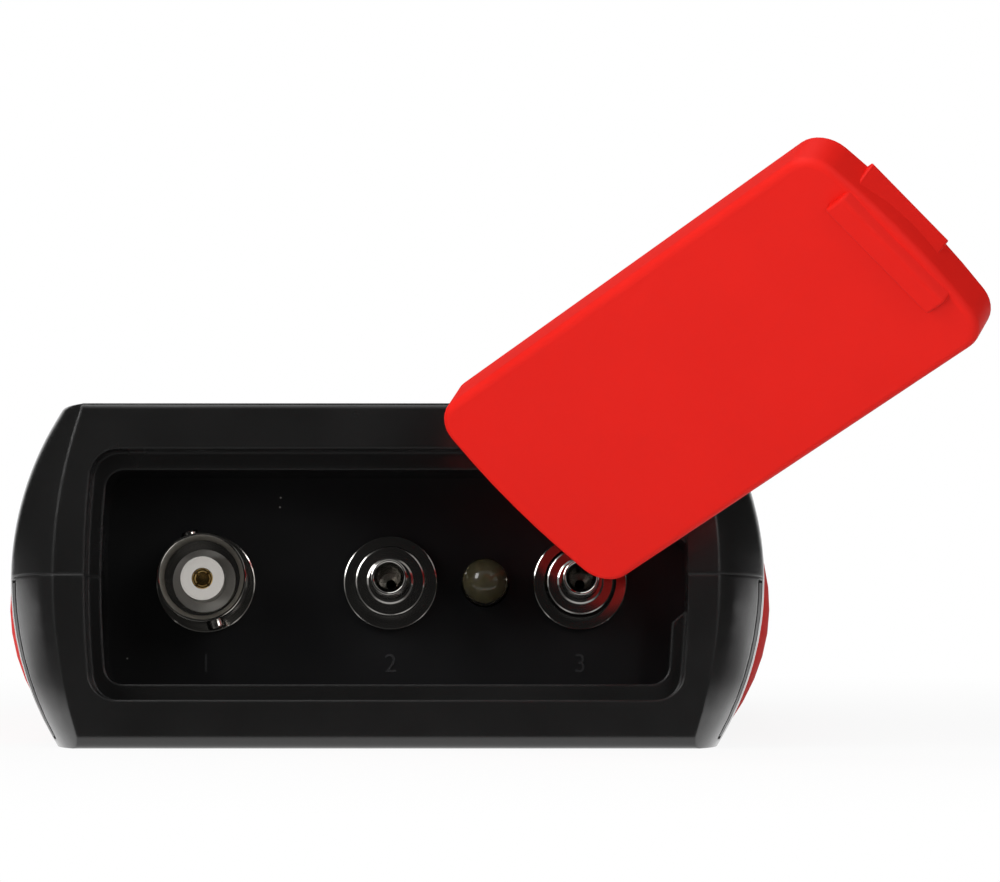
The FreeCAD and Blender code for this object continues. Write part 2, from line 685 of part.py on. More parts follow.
def rj45_jack(x):
    y0, y1 = JACK_FACE - JACK_D, JACK_FACE
    body = box(x - JACK_W / 2, x + JACK_W / 2, y0, y1, BOARD_TOP, BOARD_TOP + JACK_H)
    z = PLUG_BASE
    body = body.cut(box(x - PLUG_W / 2, x + PLUG_W / 2, y1 - PLUG_D, y1, z, z + PLUG_H))
    body = body.cut(box(x - LATCH_W / 2, x + LATCH_W / 2, y1 - LATCH_D, y1, z - LATCH_H, z))
    return body.cut(box(x - HOOK_W / 2, x + HOOK_W / 2, y1 - HOOK_D, y1, z - HOOK_H, z))


def rj45_contacts(x):
    # Spring wires that slope down from the roof of the socket
    wires = []
    top = PLUG_BASE + PLUG_H
    y0, y1 = JACK_FACE - PLUG_D, JACK_FACE - WIRE_FACE
    for i in range(WIRES):
        u = x + (i - (WIRES - 1) / 2) * WIRE_PITCH - WIRE_W / 2
        points = [V(u, y1, top), V(u, y1, top - WIRE_T), V(u, y0, top - WIRE_DROP),
                  V(u, y0, top - WIRE_DROP + WIRE_T), V(u, y1 - 2 * WIRE_T, top)]
        wires.append(prism(points, V(WIRE_W, 0, 0)))
    return Part.makeCompound(wires)


def usb_socket():
    y0, y1 = JACK_FACE - USB_D, JACK_FACE
    z0, z1 = BOARD_TOP, BOARD_TOP + USB_H
    x0, x1 = USB_X - USB_W / 2, USB_X + USB_W / 2
    w = USB_WALL
    body = round_along(box(x0, x1, y0, y1, z0, z1), AXIS, USB_R)
    inner = round_along(box(x0 + w, x1 - w, y0 + USB_BACK, y1, z0 + w, z1 - w), AXIS, USB_R - w)
    mid = (z0 + z1) / 2
    tongue = box(USB_X - USB_TONGUE_W / 2, USB_X + USB_TONGUE_W / 2, y0 + w, y1 - USB_TONGUE_IN,
                 mid - USB_TONGUE_T / 2, mid + USB_TONGUE_T / 2)
    return join([body.cut(inner), tongue])


def battery_pack():
    pack = slab(-BATTERY_W, BATTERY_W, BATTERY_Y0, BATTERY_Y0 + BATTERY_L, WALL, WALL + BATTERY_T, BATTERY_R)
    pack.rotate(V(0, 0, 0), V(1, 0, 0), WEDGE)
    pack.translate(V(0, 0, -REAR_H))
    return pack


def main_board():
    # The tail of the board is narrow enough to pass between the case bosses
    narrow = BOSS_X - CASE_BOSS_R - BOARD_GAP
    step = LENGTH - BOSS_TAIL - CASE_BOSS_R - BOARD_GAP
    wide = box(-BOARD_W, BOARD_W, BOARD_Y0, step, BOARD_Z, BOARD_TOP)
    return join([wide, box(-narrow, narrow, BOARD_Y0, BOARD_Y1, BOARD_Z, BOARD_TOP)])


def lcd_bracket():
    w, leg = LCD_W, BRACKET_LEG
    plate = box(-w, w, LCD_Y0, LCD_Y1, BRACKET_BASE, LCD_BASE)
    window, y0, y1 = w - BRACKET_RIM_W, LCD_Y0 + BRACKET_RIM_L, LCD_Y1 - BRACKET_RIM_L
    plate = plate.cut(box(-window, window, y0, y1, BRACKET_BASE, LCD_BASE))
    legs = [box(x, x + leg, y, y + leg, BOARD_TOP, LCD_BASE)
            for x in (-w, w - leg) for y in (BRACKET_LEG_Y, LCD_Y1 - leg)]
    return join([plate] + legs)


def lcd_flex():
    # A flat ribbon from the display's lower edge down to the board
    y = LCD_Y1
    down = box(-FLEX_W, FLEX_W, y, y + FLEX_T, BOARD_TOP, LCD_BASE + FLEX_LAP)
    return join([down, box(-FLEX_W, FLEX_W, y - FLEX_FOOT, y + FLEX_T, BOARD_TOP, BOARD_TOP + FLEX_T)])


def display_gasket():
    gasket = box(-LCD_W, LCD_W, LCD_Y0, LCD_Y1, LCD_TOP, INNER_TOP)
    return gasket.cut(box(-VIEW_W, VIEW_W, VIEW_Y0, VIEW_Y1, LCD_TOP, INNER_TOP))


def keypad_mat():
    mat = slab(-MAT_W, MAT_W, KEY_MID_Y - MAT_L, KEY_MID_Y + MAT_L, MAT_TOP - MAT_T, MAT_TOP, MAT_R)
    pads = [post(x, y, MAT_TOP - MAT_T, PAD_TOP, PAD_R) for x, y in map(key_centre, range(9))]
    return join([mat] + pads)


def board_spacers():
    w, l = MAT_W - SPACER_IN, MAT_L - SPACER_IN
    corners = [(sx * w, KEY_MID_Y + sy * l) for sx in (-1, 1) for sy in (-1, 1)]
    return Part.makeCompound([post(x, y, BOARD_TOP, KEY_BOARD_Z, SPACER_R) for x, y in corners])


def port_panel():
    panel = box(-PANEL_W, PANEL_W, FLOOR, PANEL_BACK, -PANEL_H, PANEL_H)
    holes = [(BNC_X, 0, BNC_THREAD_R + INSERT), (OPM_X, 0, FIBRE_THREAD_R + INSERT),
             (VFL_X, 0, FIBRE_THREAD_R + INSERT), (LED_X, 0, LED_R + LED_FIT),
             (STALK_X, STALK_Z, SLEEVE_R + RUBBER_GAP)]
    for x, z, r in holes:
        panel = panel.cut(rod(x, z, FLOOR, PANEL_BACK, r))
    return panel


def front_case(hull, room, hole):
    front = hull.common(box(-REACH, REACH, -REACH, LENGTH + REACH, 0, REACH)).cut(room).cut(hole)
    roof = INNER_TOP + INSERT
    pillars = [post(x, y, 0, roof, CASE_BOSS_R) for x, y in BOSSES]
    pillars += [post(x, y, BOARD_TOP, roof, BOARD_POST_R) for x, y in BOARD_POSTS]
    front = join([front] + [p.common(hull) for p in pillars])
    g = INSERT
    front = front.cut(slab(-GLASS_W - g, GLASS_W + g, GLASS_Y0 - g, GLASS_Y1 + g,
                           FRONT_H - GLASS_T, FRONT_H, GLASS_R + g))
    front = front.cut(slab(-VIEW_W, VIEW_W, VIEW_Y0, VIEW_Y1, INNER_TOP, FRONT_H, VIEW_R))
    w, l = KEY_W + KEY_GAP, KEY_L + KEY_GAP
    for x, y in map(key_centre, range(9)):
        front = front.cut(slab(x - w, x + w, y - l, y + l, INNER_TOP, FRONT_H, KEY_R + KEY_GAP))
    sockets = [(x, JACK_W / 2, JACK_H) for x in JACK_X] + [(USB_X, USB_W / 2, USB_H)]
    for x, half, height in sockets:
        front = front.cut(box(x - half - g, x + half + g, LENGTH - WALL - g, LENGTH + g,
                              BOARD_TOP - g, BOARD_TOP + height + g))
    return front


def rear_case(hull, room, hole):
    rear = hull.common(box(-REACH, REACH, -REACH, LENGTH + REACH, -REACH, 0)).cut(room).cut(hole)
    pillars = [post(x, y, rear_z(y), 0, CASE_BOSS_R) for x, y in BOSSES]
    rear = join([rear] + [p.common(hull) for p in pillars])
    for x, y in BOSSES:
        rear = rear.cut(post(x, y, -REACH, rear_z(y) + SCREW_SINK + SCREW_HEAD_T, SCREW_HEAD_R))
    return rear


def place(shape):
    # Lays the sloping rear face on the table, with its middle at the origin
    shape = shape.copy()
    shape.rotate(V(0, 0, 0), V(1, 0, 0), -WEDGE)
    c, s = math.cos(math.radians(WEDGE)), math.sin(math.radians(WEDGE))
    shape.translate(V(0, REAR_H * s - LENGTH / 2 / c, REAR_H * c))
    return shape


def build():
    parts = {}
    hull, room, hole = outer_hull(), cavity(), recess()
    front, rear = front_case(hull, room, hole), rear_case(hull, room, hole)
    panel, board = port_panel(), main_board()
    panel_screws = [panel_screw(sx * PANEL_SCREW_X, sz * PANEL_SCREW_Z) for sx in (-1, 1) for sz in (-1, 1)]
    case_screws = [case_screw(x, y) for x, y in BOSSES]
    board_screws = [board_screw(x, y) for x, y in BOARD_POSTS]
    for side, sign in (("left", -1), ("right", 1)):
        grip = side_grip(sign)
        parts["side_grip_" + side] = grip
        parts["grip_trim_" + side] = shoulder_band(hull, sign, 0)
        front = front.cut(grip)
        rear = rear.cut(grip).cut(shoulder_band(hull, sign, BAND_GAP))
    for screw in panel_screws + case_screws + board_screws:
        front = front.cut(screw)
    for screw in panel_screws + case_screws:
        rear = rear.cut(screw)
    for screw in panel_screws:
        panel = panel.cut(screw)
    for screw in board_screws:
        board = board.cut(screw)
    parts["front_case"] = front
    parts["rear_case"] = rear
    parts["port_panel"] = panel
    parts["main_board"] = board
    parts["panel_screws"] = Part.makeCompound(panel_screws)
    parts["case_screws"] = Part.makeCompound(case_screws)
    parts["board_screws"] = Part.makeCompound(board_screws)

    parts["bnc_shell"] = bnc_shell()
    parts["bnc_insulator"] = bnc_insulator()
    parts["bnc_contact"] = bnc_contact()
    parts["bnc_washer"] = bnc_washer()
    nut_y = PANEL_BACK + BNC_WASHER_T
    parts["bnc_nut"] = hexagon(BNC_X, nut_y, nut_y + BNC_NUT_T, BNC_NUT_ACROSS, BNC_THREAD_R)
    for name, x, boss_r in (("opm", OPM_X, OPM_BOSS_R), ("vfl", VFL_X, VFL_BOSS_R)):
        parts[name + "_adapter"] = fibre_adapter(x, boss_r)
        nut_y = PANEL_BACK + FIBRE_NUT_T
        parts[name + "_nut"] = hexagon(x, PANEL_BACK, nut_y, FIBRE_NUT_ACROSS, FIBRE_THREAD_R)
    parts["opm_detector"] = rod(OPM_X, 0, FIBRE_BACK, FIBRE_BACK + DETECTOR_L, DETECTOR_R)
    parts["vfl_laser"] = rod(VFL_X, 0, FIBRE_BACK, FIBRE_BACK + LASER_L, LASER_R)
    parts["torch_led"] = torch_led()

    parts["port_cover"] = cover_open(cover_in_seat())
    parts["cover_neck"] = cover_neck()
    parts["cover_stalk"] = cover_stalk()
    parts["cover_sleeve"] = cover_sleeve()

    parts["display_window"] = slab(-GLASS_W, GLASS_W, GLASS_Y0, GLASS_Y1, FRONT_H - GLASS_T, FRONT_H, GLASS_R)
    parts["lcd_module"] = box(-LCD_W, LCD_W, LCD_Y0, LCD_Y1, LCD_BASE, LCD_TOP)
    parts["display_gasket"] = display_gasket()
    parts["lcd_bracket"] = lcd_bracket()
    parts["lcd_flex"] = lcd_flex()
    names = ("power", "up", "torch", "left", "ok", "right", "back", "down", "test")
    for i, name in enumerate(names):
        parts["key_" + name] = key(i)
    parts["keypad_mat"] = keypad_mat()
    parts["keypad_board"] = box(-MAT_W, MAT_W, KEY_MID_Y - MAT_L, KEY_MID_Y + MAT_L,
                                KEY_BOARD_Z, KEY_BOARD_Z + KEY_BOARD_T)
    parts["board_spacers"] = board_spacers()
    parts["battery_pack"] = battery_pack()
    parts["buzzer"] = post(BUZZER_X, KEY_MID_Y, BOARD_TOP, BOARD_TOP + BUZZER_H, BUZZER_R)
    for n, x in enumerate(JACK_X, 1):
        parts["rj45_jack_%d" % n] = rj45_jack(x)
        parts["rj45_contacts_%d" % n] = rj45_contacts(x)
    parts["usb_socket"] = usb_socket()
    return parts


for node, shape in build().items():
    place(shape).exportStep("parts/" + node + ".step")
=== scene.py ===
import json
import math

import bmesh
import bpy
from mathutils import Matrix, Vector


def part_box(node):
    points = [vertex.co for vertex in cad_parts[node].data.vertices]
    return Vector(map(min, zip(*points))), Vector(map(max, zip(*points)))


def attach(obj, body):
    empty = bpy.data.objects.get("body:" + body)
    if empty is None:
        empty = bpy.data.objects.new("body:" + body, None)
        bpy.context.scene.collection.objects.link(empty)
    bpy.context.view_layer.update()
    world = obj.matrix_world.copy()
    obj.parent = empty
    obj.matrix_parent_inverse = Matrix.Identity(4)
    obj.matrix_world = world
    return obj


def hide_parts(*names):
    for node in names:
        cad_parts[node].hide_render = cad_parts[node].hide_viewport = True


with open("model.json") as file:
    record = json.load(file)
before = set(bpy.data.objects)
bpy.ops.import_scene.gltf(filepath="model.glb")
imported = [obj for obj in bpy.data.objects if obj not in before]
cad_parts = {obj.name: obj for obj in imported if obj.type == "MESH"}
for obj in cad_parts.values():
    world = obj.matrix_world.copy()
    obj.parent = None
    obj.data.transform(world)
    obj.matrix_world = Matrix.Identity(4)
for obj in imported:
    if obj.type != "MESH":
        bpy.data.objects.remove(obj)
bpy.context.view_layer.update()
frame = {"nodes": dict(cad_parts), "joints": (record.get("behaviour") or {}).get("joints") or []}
nodes = frame["nodes"]
joints = {joint["name"]: joint for joint in frame["joints"]}
bpy.ops.object.select_all(action="DESELECT")

# Sizes are in metres, angles in degrees
MM = 0.001
# Points closer than this are at the same place
CLOSE = 0.001 * MM
# Edges sharper than this stay sharp
CREASE = 35
METAL_CREASE = 12
LENS_CREASE = 40

# The tester's own axes start at the middle of its port end: X across, Y to the tail, Z up from the seam
LENGTH = 180 * MM
REAR_H = 18.6 * MM
FRONT_H = 18.3 * MM
WEDGE = 4.0
TILT = math.radians(WEDGE)
PORT_END = Vector((0, REAR_H * math.sin(TILT) - LENGTH / 2 / math.cos(TILT), REAR_H * math.cos(TILT)))
TESTER = Matrix.Translation(PORT_END) @ Matrix.Rotation(-TILT, 4, "X")

# Ports across the panel, which lies at the recess floor
FLOOR = 17.0 * MM
COAX_X = -19.9 * MM
METER_X = 0.2 * MM
LASER_X = 20.8 * MM
LAMP_X = 10.5 * MM
LUG_AT = 6.6 * MM
LUG_LEAN = 16.5
SLIT_W = 0.24 * MM
SLIT_FROM = 5.5 * MM
SLIT_TO = 9.5 * MM
SLIT_REACH = 2.0 * MM
LAMP_R = 2.5 * MM
LAMP_DOME = 4.5 * MM
LEG_SPREAD = 1.27 * MM
LEG_RISE = 2.1 * MM
NUMERAL_DROP = 9.65 * MM
NUMERAL_SIZE = 2.9 * MM
NUMERAL_T = 0.12 * MM
KEY_PROUD = 1.2 * MM
PRINT_T = 0.04 * MM
PRINT_LINE = 0.45 * MM
PRINT_CORNER = 0.12 * MM

# Port cover in its seat, about the middle of the recess
COVER_L = 31.4 * MM
COVER_H = 13.05 * MM
COVER_BOW = 1.1 * MM
COVER_FRONT = -1.0 * MM
COVER_BACK = 3.4 * MM
COVER_SKIN = 2.2 * MM
COVER_SKIRT = 1.4 * MM
COVER_CORNER = 3.0 * MM
COVER_EDGE = 0.9 * MM
SKIRT_EDGE = 0.2 * MM
BAR_L = 14.8 * MM
BAR_W = 2.6 * MM
BAR_H = 1.0 * MM
BAR_IN = 1.4 * MM
BAR_FOOT = 0.4 * MM
BAR_ROOT = 0.9 * MM
BAR_EDGE = 0.42 * MM
TONGUE_L = 11.0 * MM
TONGUE_AT = -1.6 * MM
TONGUE_OUT = 0.5 * MM
TONGUE_T = 3.3 * MM
TONGUE_SINK = 0.4 * MM
TONGUE_ROOT = 1.2 * MM
TONGUE_EDGE = 0.3 * MM
STALK_X = 25.12 * MM
STALK_Z = 7.61 * MM
PIVOT_SEATED = 6.0 * MM
BALL_R = 2.0 * MM
SOCKET_R = 2.3 * MM
BOSS_R = 3.4 * MM
BOSS_REACH = 1.3 * MM
BOSS_EDGE = 0.3 * MM
STEM_R = 1.1 * MM
STEM_ROOM = 1.4 * MM
STEM_CUT = 6.0 * MM
COLLAR_R = 1.8 * MM
COLLAR_FROM = 4.6 * MM
COLLAR_T = 1.4 * MM
COLLAR_EDGE = 0.25 * MM

# Side grips, in the tester's own axes
SIDE_W = 40.6 * MM
SIDE_BOW = 5.6 * MM
GRIP_FROM = 18.0 * MM
GRIP_TO = 164.0 * MM
GRIP_TOP = 5.0 * MM
GRIP_LIFT = 1.8 * MM
GRIP_LIP = 0.15 * MM
GRIP_CROWN = 1.1 * MM
GRIP_RAMP = 5.0 * MM
GRIP_SINK = 1.0 * MM
# Points of a grip that have their place wait this far off, so that none is picked twice
SHIFTED = 1.0

# Finishes
NOISE_LOW = 0.3
NOISE_HIGH = 0.7
PATCH_SCALE = 90.0
LINT = (0.30, 0.29, 0.27)
LINT_CORE = 0.03
LINT_RIM = 0.05
LATHE_RINGS = 1500.0
LATHE_WANDER = 2.0
LATHE_DEPTH = 0.0006 * MM
METAL_LIFT = 1.08

# Camera of the photograph
PHOTO_WIDTH = 1000
FOCAL_PIXELS = 6580
SENSOR_WIDTH = 36.0
CAMERA_SIDE = 12.1 * MM
CAMERA_AWAY = 700 * MM
CAMERA_RISE = 5.6 * MM
CAMERA_PITCH = 0.7

# The room as mirrors see it, by direction along Y: dim behind the camera, a ring of soft light
# round it, and white at the back
ROOM_LEVELS = [(-1.0, 0.012), (-0.90, 0.012), (-0.78, 0.40), (-0.45, 0.40), (-0.20, 0.02),
               (0.90, 0.015), (0.985, 1.0)]
AMBIENT = 0.22
# The table is white, with a faint shadow near the tester
TABLE_SIZE = 20.0
TABLE_GREY = 0.85
TABLE_ROUGH = 0.9
SHADOW_NEAR = 0.05
SHADOW_FAR = 0.25
SHADOW_GLOW = 0.90
# In mirrors it dims in front of the tester
FLOOR_DARK = -0.085
FLOOR_LIT = -0.030
FLOOR_DIM = 0.06
# and stays white at the tester's foot
NEAR_SIDE = 0.046
FAR_SIDE = 0.075
NEAR_FRONT = -0.093
FAR_FRONT = -0.110


def add(tree, kind, **settings):
    node = tree.nodes.new(kind)
    for name, value in settings.items():
        setattr(node, name, value)
    return node


def remap(tree, value, low, high, first, last):
    # Turns a value between low and high into one between first and last
    ramp = add(tree, "ShaderNodeMapRange")
    for label, number in (("From Min", low), ("From Max", high), ("To Min", first), ("To Max", last)):
        ramp.inputs[label].default_value = number
    tree.links.new(value, ramp.inputs["Value"])
    return ramp.outputs["Result"]


def calculate(tree, operation, first, second=0.0):
    step = add(tree, "ShaderNodeMath", operation=operation)
    for socket, value in zip(step.inputs, (first, second)):
        if isinstance(value, float):
            socket.default_value = value
        else:
            tree.links.new(value, socket)
    return step.outputs["Value"]


def node_group(name, inputs, outputs):
    group = bpy.data.node_groups.new(name, "ShaderNodeTree")
    for label, value in inputs:
        socket = group.interface.new_socket(label, in_out="INPUT", socket_type="NodeSocketFloat")
        socket.default_value = value
    for label in outputs:
        group.interface.new_socket(label, in_out="OUTPUT", socket_type="NodeSocketFloat")
    return group, group.nodes.new("NodeGroupInput"), group.nodes.new("NodeGroupOutput")


def moulded_grain():
    # Fine spark texture of a moulding tool, and broad patches where it is more or less polished
    group, entry, result = node_group("moulded_grain", [("Scale", 3000.0)], ["Height", "Patches"])
    place = add(group, "ShaderNodeTexCoord")
    fine = add(group, "ShaderNodeTexNoise")
    fine.inputs["Detail"].default_value = 3.0
    broad = add(group, "ShaderNodeTexNoise")
    broad.inputs["Scale"].default_value = PATCH_SCALE
    broad.inputs["Detail"].default_value = 4.0
    group.links.new(place.outputs["Object"], fine.inputs["Vector"])
    group.links.new(place.outputs["Object"], broad.inputs["Vector"])
    group.links.new(entry.outputs["Scale"], fine.inputs["Scale"])
    group.links.new(fine.outputs["Fac"], result.inputs["Height"])
    group.links.new(broad.outputs["Fac"], result.inputs["Patches"])
    return group


def dust_specks():
    # Few small specks of lint, one here and there
    group, entry, result = node_group("dust_specks", [("Scale", 420.0), ("Share", 0.10)], ["Mask"])
    place = add(group, "ShaderNodeTexCoord")
    cells = add(group, "ShaderNodeTexVoronoi")
    group.links.new(place.outputs["Object"], cells.inputs["Vector"])
    group.links.new(entry.outputs["Scale"], cells.inputs["Scale"])
    inside = remap(group, cells.outputs["Distance"], LINT_CORE, LINT_RIM, 1.0, 0.0)
    split = add(group, "ShaderNodeSeparateColor")
    group.links.new(cells.outputs["Color"], split.inputs["Color"])
    chosen = calculate(group, "LESS_THAN", split.outputs["Red"], entry.outputs["Share"])
    group.links.new(calculate(group, "MULTIPLY", inside, chosen), result.inputs["Mask"])
    return group


GRAIN = moulded_grain()
SPECKS = dust_specks()


def material(name):
    made = bpy.data.materials.new(name)
    made.use_nodes = True
    tree = made.node_tree
    return made, tree, tree.nodes["Principled BSDF"]


def mix_colour(tree, mask, first, second):
    mix = add(tree, "ShaderNodeMix", data_type="RGBA")
    for socket, value in ((mix.inputs[6], first), (mix.inputs[7], second)):
        if isinstance(value, tuple):
            socket.default_value = (*value, 1)
        else:
            tree.links.new(value, socket)
    tree.links.new(mask, mix.inputs[0])
    return mix.outputs[2]


def spread(tree, value, low, high):
    # Stretches the middle of a noise over a range of values
    return remap(tree, value, NOISE_LOW, NOISE_HIGH, low, high)


def bump(tree, bsdf, height, depth, rounding=0.0):
    # Relief of a given depth, over edges that look rounded where a radius is given
    relief = add(tree, "ShaderNodeBump")
    if rounding:
        edges = add(tree, "ShaderNodeBevel", samples=6)
        edges.inputs["Radius"].default_value = rounding
        tree.links.new(edges.outputs["Normal"], relief.inputs["Normal"])
    relief.inputs["Strength"].default_value = 1.0
    relief.inputs["Distance"].default_value = depth
    tree.links.new(height, relief.inputs["Height"])
    tree.links.new(relief.outputs["Normal"], bsdf.inputs["Normal"])


def moulded(name, dark, light, rough, scale=3000.0, depth=0.006 * MM, dust=0.0, shine=0.5, rounding=0.0):
    made, tree, bsdf = material(name)
    bsdf.inputs["Specular IOR Level"].default_value = shine
    grain = add(tree, "ShaderNodeGroup", node_tree=GRAIN)
    grain.inputs["Scale"].default_value = scale
    patches = grain.outputs["Patches"]
    colour = mix_colour(tree, patches, dark, light)
    if dust:
        specks = add(tree, "ShaderNodeGroup", node_tree=SPECKS)
        specks.inputs["Share"].default_value = dust
        colour = mix_colour(tree, specks.outputs["Mask"], colour, LINT)
    tree.links.new(colour, bsdf.inputs["Base Color"])
    tree.links.new(spread(tree, patches, *rough), bsdf.inputs["Roughness"])
    bump(tree, bsdf, grain.outputs["Height"], depth, rounding)
    return made


def turned_metal(name, colour, rough, centre_x):
    # Rings left by a lathe round the port's axis
    made, tree, bsdf = material(name)
    bsdf.inputs["Metallic"].default_value = 1.0
    place = add(tree, "ShaderNodeTexCoord")
    centre = add(tree, "ShaderNodeMapping", vector_type="TEXTURE")
    centre.inputs["Location"].default_value = PORT_END + Vector((centre_x, 0, 0))
    centre.inputs["Rotation"].default_value = (-TILT, 0, 0)
    tree.links.new(place.outputs["Object"], centre.inputs["Vector"])
    rings = add(tree, "ShaderNodeTexWave", wave_type="RINGS", rings_direction="Y")
    rings.inputs["Scale"].default_value = LATHE_RINGS
    rings.inputs["Distortion"].default_value = LATHE_WANDER
    tree.links.new(centre.outputs["Vector"], rings.inputs["Vector"])
    grain = add(tree, "ShaderNodeGroup", node_tree=GRAIN)
    patches = grain.outputs["Patches"]
    light = tuple(min(1.0, METAL_LIFT * c) for c in colour)
    tree.links.new(mix_colour(tree, patches, colour, light), bsdf.inputs["Base Color"])
    tree.links.new(spread(tree, patches, *rough), bsdf.inputs["Roughness"])
    bump(tree, bsdf, rings.outputs["Fac"], LATHE_DEPTH)
    return made


def dress(made, names):
    for name in names:
        slots = nodes[name].data.materials
        slots.clear()
        slots.append(made)


case_black = moulded("case_black", (0.0078, 0.0078, 0.0077), (0.0105, 0.0103, 0.0100), (0.20, 0.28), 6000,
                     0.010 * MM, 0.02, rounding=0.45 * MM)
skin = case_black.node_tree.nodes["Principled BSDF"]
skin.inputs["Coat Weight"].default_value = 0.6
skin.inputs["Coat Roughness"].default_value = 0.14
panel_black = moulded("panel_black", (0.0042, 0.0042, 0.0048), (0.0056, 0.0056, 0.0062), (0.30, 0.38), 4000,
                      0.002 * MM, 0.05, shine=0.3)
numeral_black = moulded("numeral_black", (0.022, 0.022, 0.023), (0.030, 0.030, 0.031), (0.20, 0.28), 4000,
                        0.001 * MM)
cover_red = moulded("cover_red", (0.80, 0.008, 0.003), (0.87, 0.011, 0.005), (0.50, 0.60), 5000,
                    0.002 * MM, shine=0.22)
grip_red = moulded("grip_red", (0.72, 0.012, 0.008), (0.80, 0.016, 0.011), (0.58, 0.68), 3500,
                   0.006 * MM, shine=0.2)
trim_black = moulded("trim_black", (0.010, 0.010, 0.010), (0.014, 0.014, 0.014), (0.30, 0.38), 3500,
                     0.002 * MM)
key_grey = moulded("key_grey", (0.07, 0.07, 0.074), (0.09, 0.09, 0.095), (0.5, 0.6), 4000, 0.003 * MM)
seal_black = moulded("seal_black", (0.02, 0.02, 0.02), (0.03, 0.03, 0.03), (0.7, 0.85))
board_green = moulded("board_green", (0.016, 0.12, 0.04), (0.024, 0.16, 0.06), (0.3, 0.4))
cell_wrap = moulded("cell_wrap", (0.32, 0.34, 0.37), (0.38, 0.40, 0.43), (0.3, 0.4))
ribbon_amber = moulded("ribbon_amber", (0.5, 0.27, 0.05), (0.6, 0.33, 0.07), (0.25, 0.35))
socket_black = moulded("socket_black", (0.02, 0.02, 0.021), (0.026, 0.026, 0.027), (0.4, 0.5))
# White PTFE of the insulator, its colour darkened to paint the shade of the cup that it sits in
fluoro_white_painted_shade = moulded("fluoro_white_painted_shade", (0.47, 0.455, 0.425), (0.53, 0.515, 0.485), (0.35, 0.45), 2500,
                       0.002 * MM)
print_white = moulded("print_white", (0.70, 0.70, 0.69), (0.78, 0.78, 0.77), (0.5, 0.6), 2500, 0.001 * MM)
lamp_resin = moulded("lamp_resin", (0.048, 0.042, 0.022), (0.058, 0.051, 0.028), (0.03, 0.05), 900,
                     0.0002 * MM)
glow_through = lamp_resin.node_tree.nodes["Principled BSDF"]
glow_through.inputs["Subsurface Weight"].default_value = 0.7
glow_through.inputs["Subsurface Radius"].default_value = (1.0, 0.95, 0.6)
glow_through.inputs["Subsurface Scale"].default_value = 1.5 * MM
screen_dark = moulded("screen_dark", (0.010, 0.011, 0.013), (0.012, 0.013, 0.016), (0.08, 0.12), 900,
                      0.0004 * MM)
coax_nickel = turned_metal("coax_nickel", (0.56, 0.54, 0.50), (0.08, 0.14), COAX_X)
meter_nickel = turned_metal("meter_nickel", (0.50, 0.485, 0.46), (0.09, 0.16), METER_X)
laser_nickel = turned_metal("laser_nickel", (0.50, 0.485, 0.46), (0.08, 0.14), LASER_X)
plain_steel = turned_metal("plain_steel", (0.52, 0.52, 0.52), (0.22, 0.32), 0)
gold_plate = turned_metal("gold_plate", (0.86, 0.60, 0.24), (0.10, 0.16), COAX_X)

KEYS = ("power", "up", "torch", "left", "ok", "right", "back", "down", "test")
dress(case_black, ["front_case", "rear_case"])
dress(panel_black, ["port_panel"])
dress(cover_red, ["port_cover", "cover_neck", "cover_stalk", "cover_sleeve"])
dress(grip_red, ["side_grip_left", "side_grip_right"])
dress(trim_black, ["grip_trim_left", "grip_trim_right"])
dress(key_grey, ["key_" + name for name in KEYS])
dress(seal_black, ["display_gasket", "keypad_mat", "buzzer"])
dress(board_green, ["main_board", "keypad_board"])
dress(cell_wrap, ["battery_pack"])
dress(ribbon_amber, ["lcd_flex"])
dress(socket_black, ["rj45_jack_1", "rj45_jack_2"])
dress(fluoro_white_painted_shade, ["bnc_insulator"])
dress(lamp_resin, ["torch_led"])
dress(screen_dark, ["display_window", "lcd_module"])
dress(coax_nickel, ["bnc_shell", "bnc_washer", "bnc_nut"])
dress(meter_nickel, ["opm_adapter", "opm_nut"])
dress(laser_nickel, ["vfl_adapter", "vfl_nut"])
dress(seal_black, ["opm_detector", "vfl_laser"])
dress(plain_steel, ["panel_screws", "case_screws", "board_screws", "board_spacers"])
dress(plain_steel, ["lcd_bracket", "usb_socket"])
dress(gold_plate, ["bnc_contact", "rj45_contacts_1", "rj45_contacts_2"])


def pick(kind, test):
    # Selects the points, edges or faces of the piece in edit mode that pass a test, and nothing else
    bpy.ops.mesh.select_mode(type=kind)
    bpy.ops.mesh.select_all(action="DESELECT")
    mesh = bmesh.from_edit_mesh(bpy.context.object.data)
    for item in {"VERT": mesh.verts, "EDGE": mesh.edges, "FACE": mesh.faces}[kind]:
        if test(item):
            item.select_set(True)
    bmesh.update_edit_mesh(bpy.context.object.data)


def near(value, goal):
    return abs(value - goal) < CLOSE


def edit():
    bpy.ops.object.mode_set(mode="EDIT")


def done():
    bpy.ops.object.mode_set(mode="OBJECT")


def take_up(pieces):
    bpy.ops.object.select_all(action="DESELECT")
    for piece in pieces:
        piece.select_set(True)
    bpy.context.view_layer.objects.active = pieces[0]


def seat(piece, place):
    # Moves a piece to its place and leaves its object at the origin
    take_up([piece])
    bpy.context.view_layer.update()
    piece.matrix_world = place @ piece.matrix_world
    bpy.ops.object.transform_apply(location=True, rotation=True, scale=True)
    return piece


def finish_piece(piece, name, made, body, stands_for=None, angle=CREASE):
    piece.name = name
    take_up([piece])
    piece.data.materials.clear()
    piece.data.materials.append(made)
    bpy.ops.object.shade_smooth_by_angle(angle=math.radians(angle))
    even = piece.modifiers.new("even_shading", "WEIGHTED_NORMAL")
    even.keep_sharp = True
    bpy.ops.object.modifier_apply(modifier=even.name)
    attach(piece, body)
    if stands_for:
        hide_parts(stands_for)


def join(pieces):
    take_up(pieces)
    if len(pieces) > 1:
        bpy.ops.object.join()
    return pieces[0]


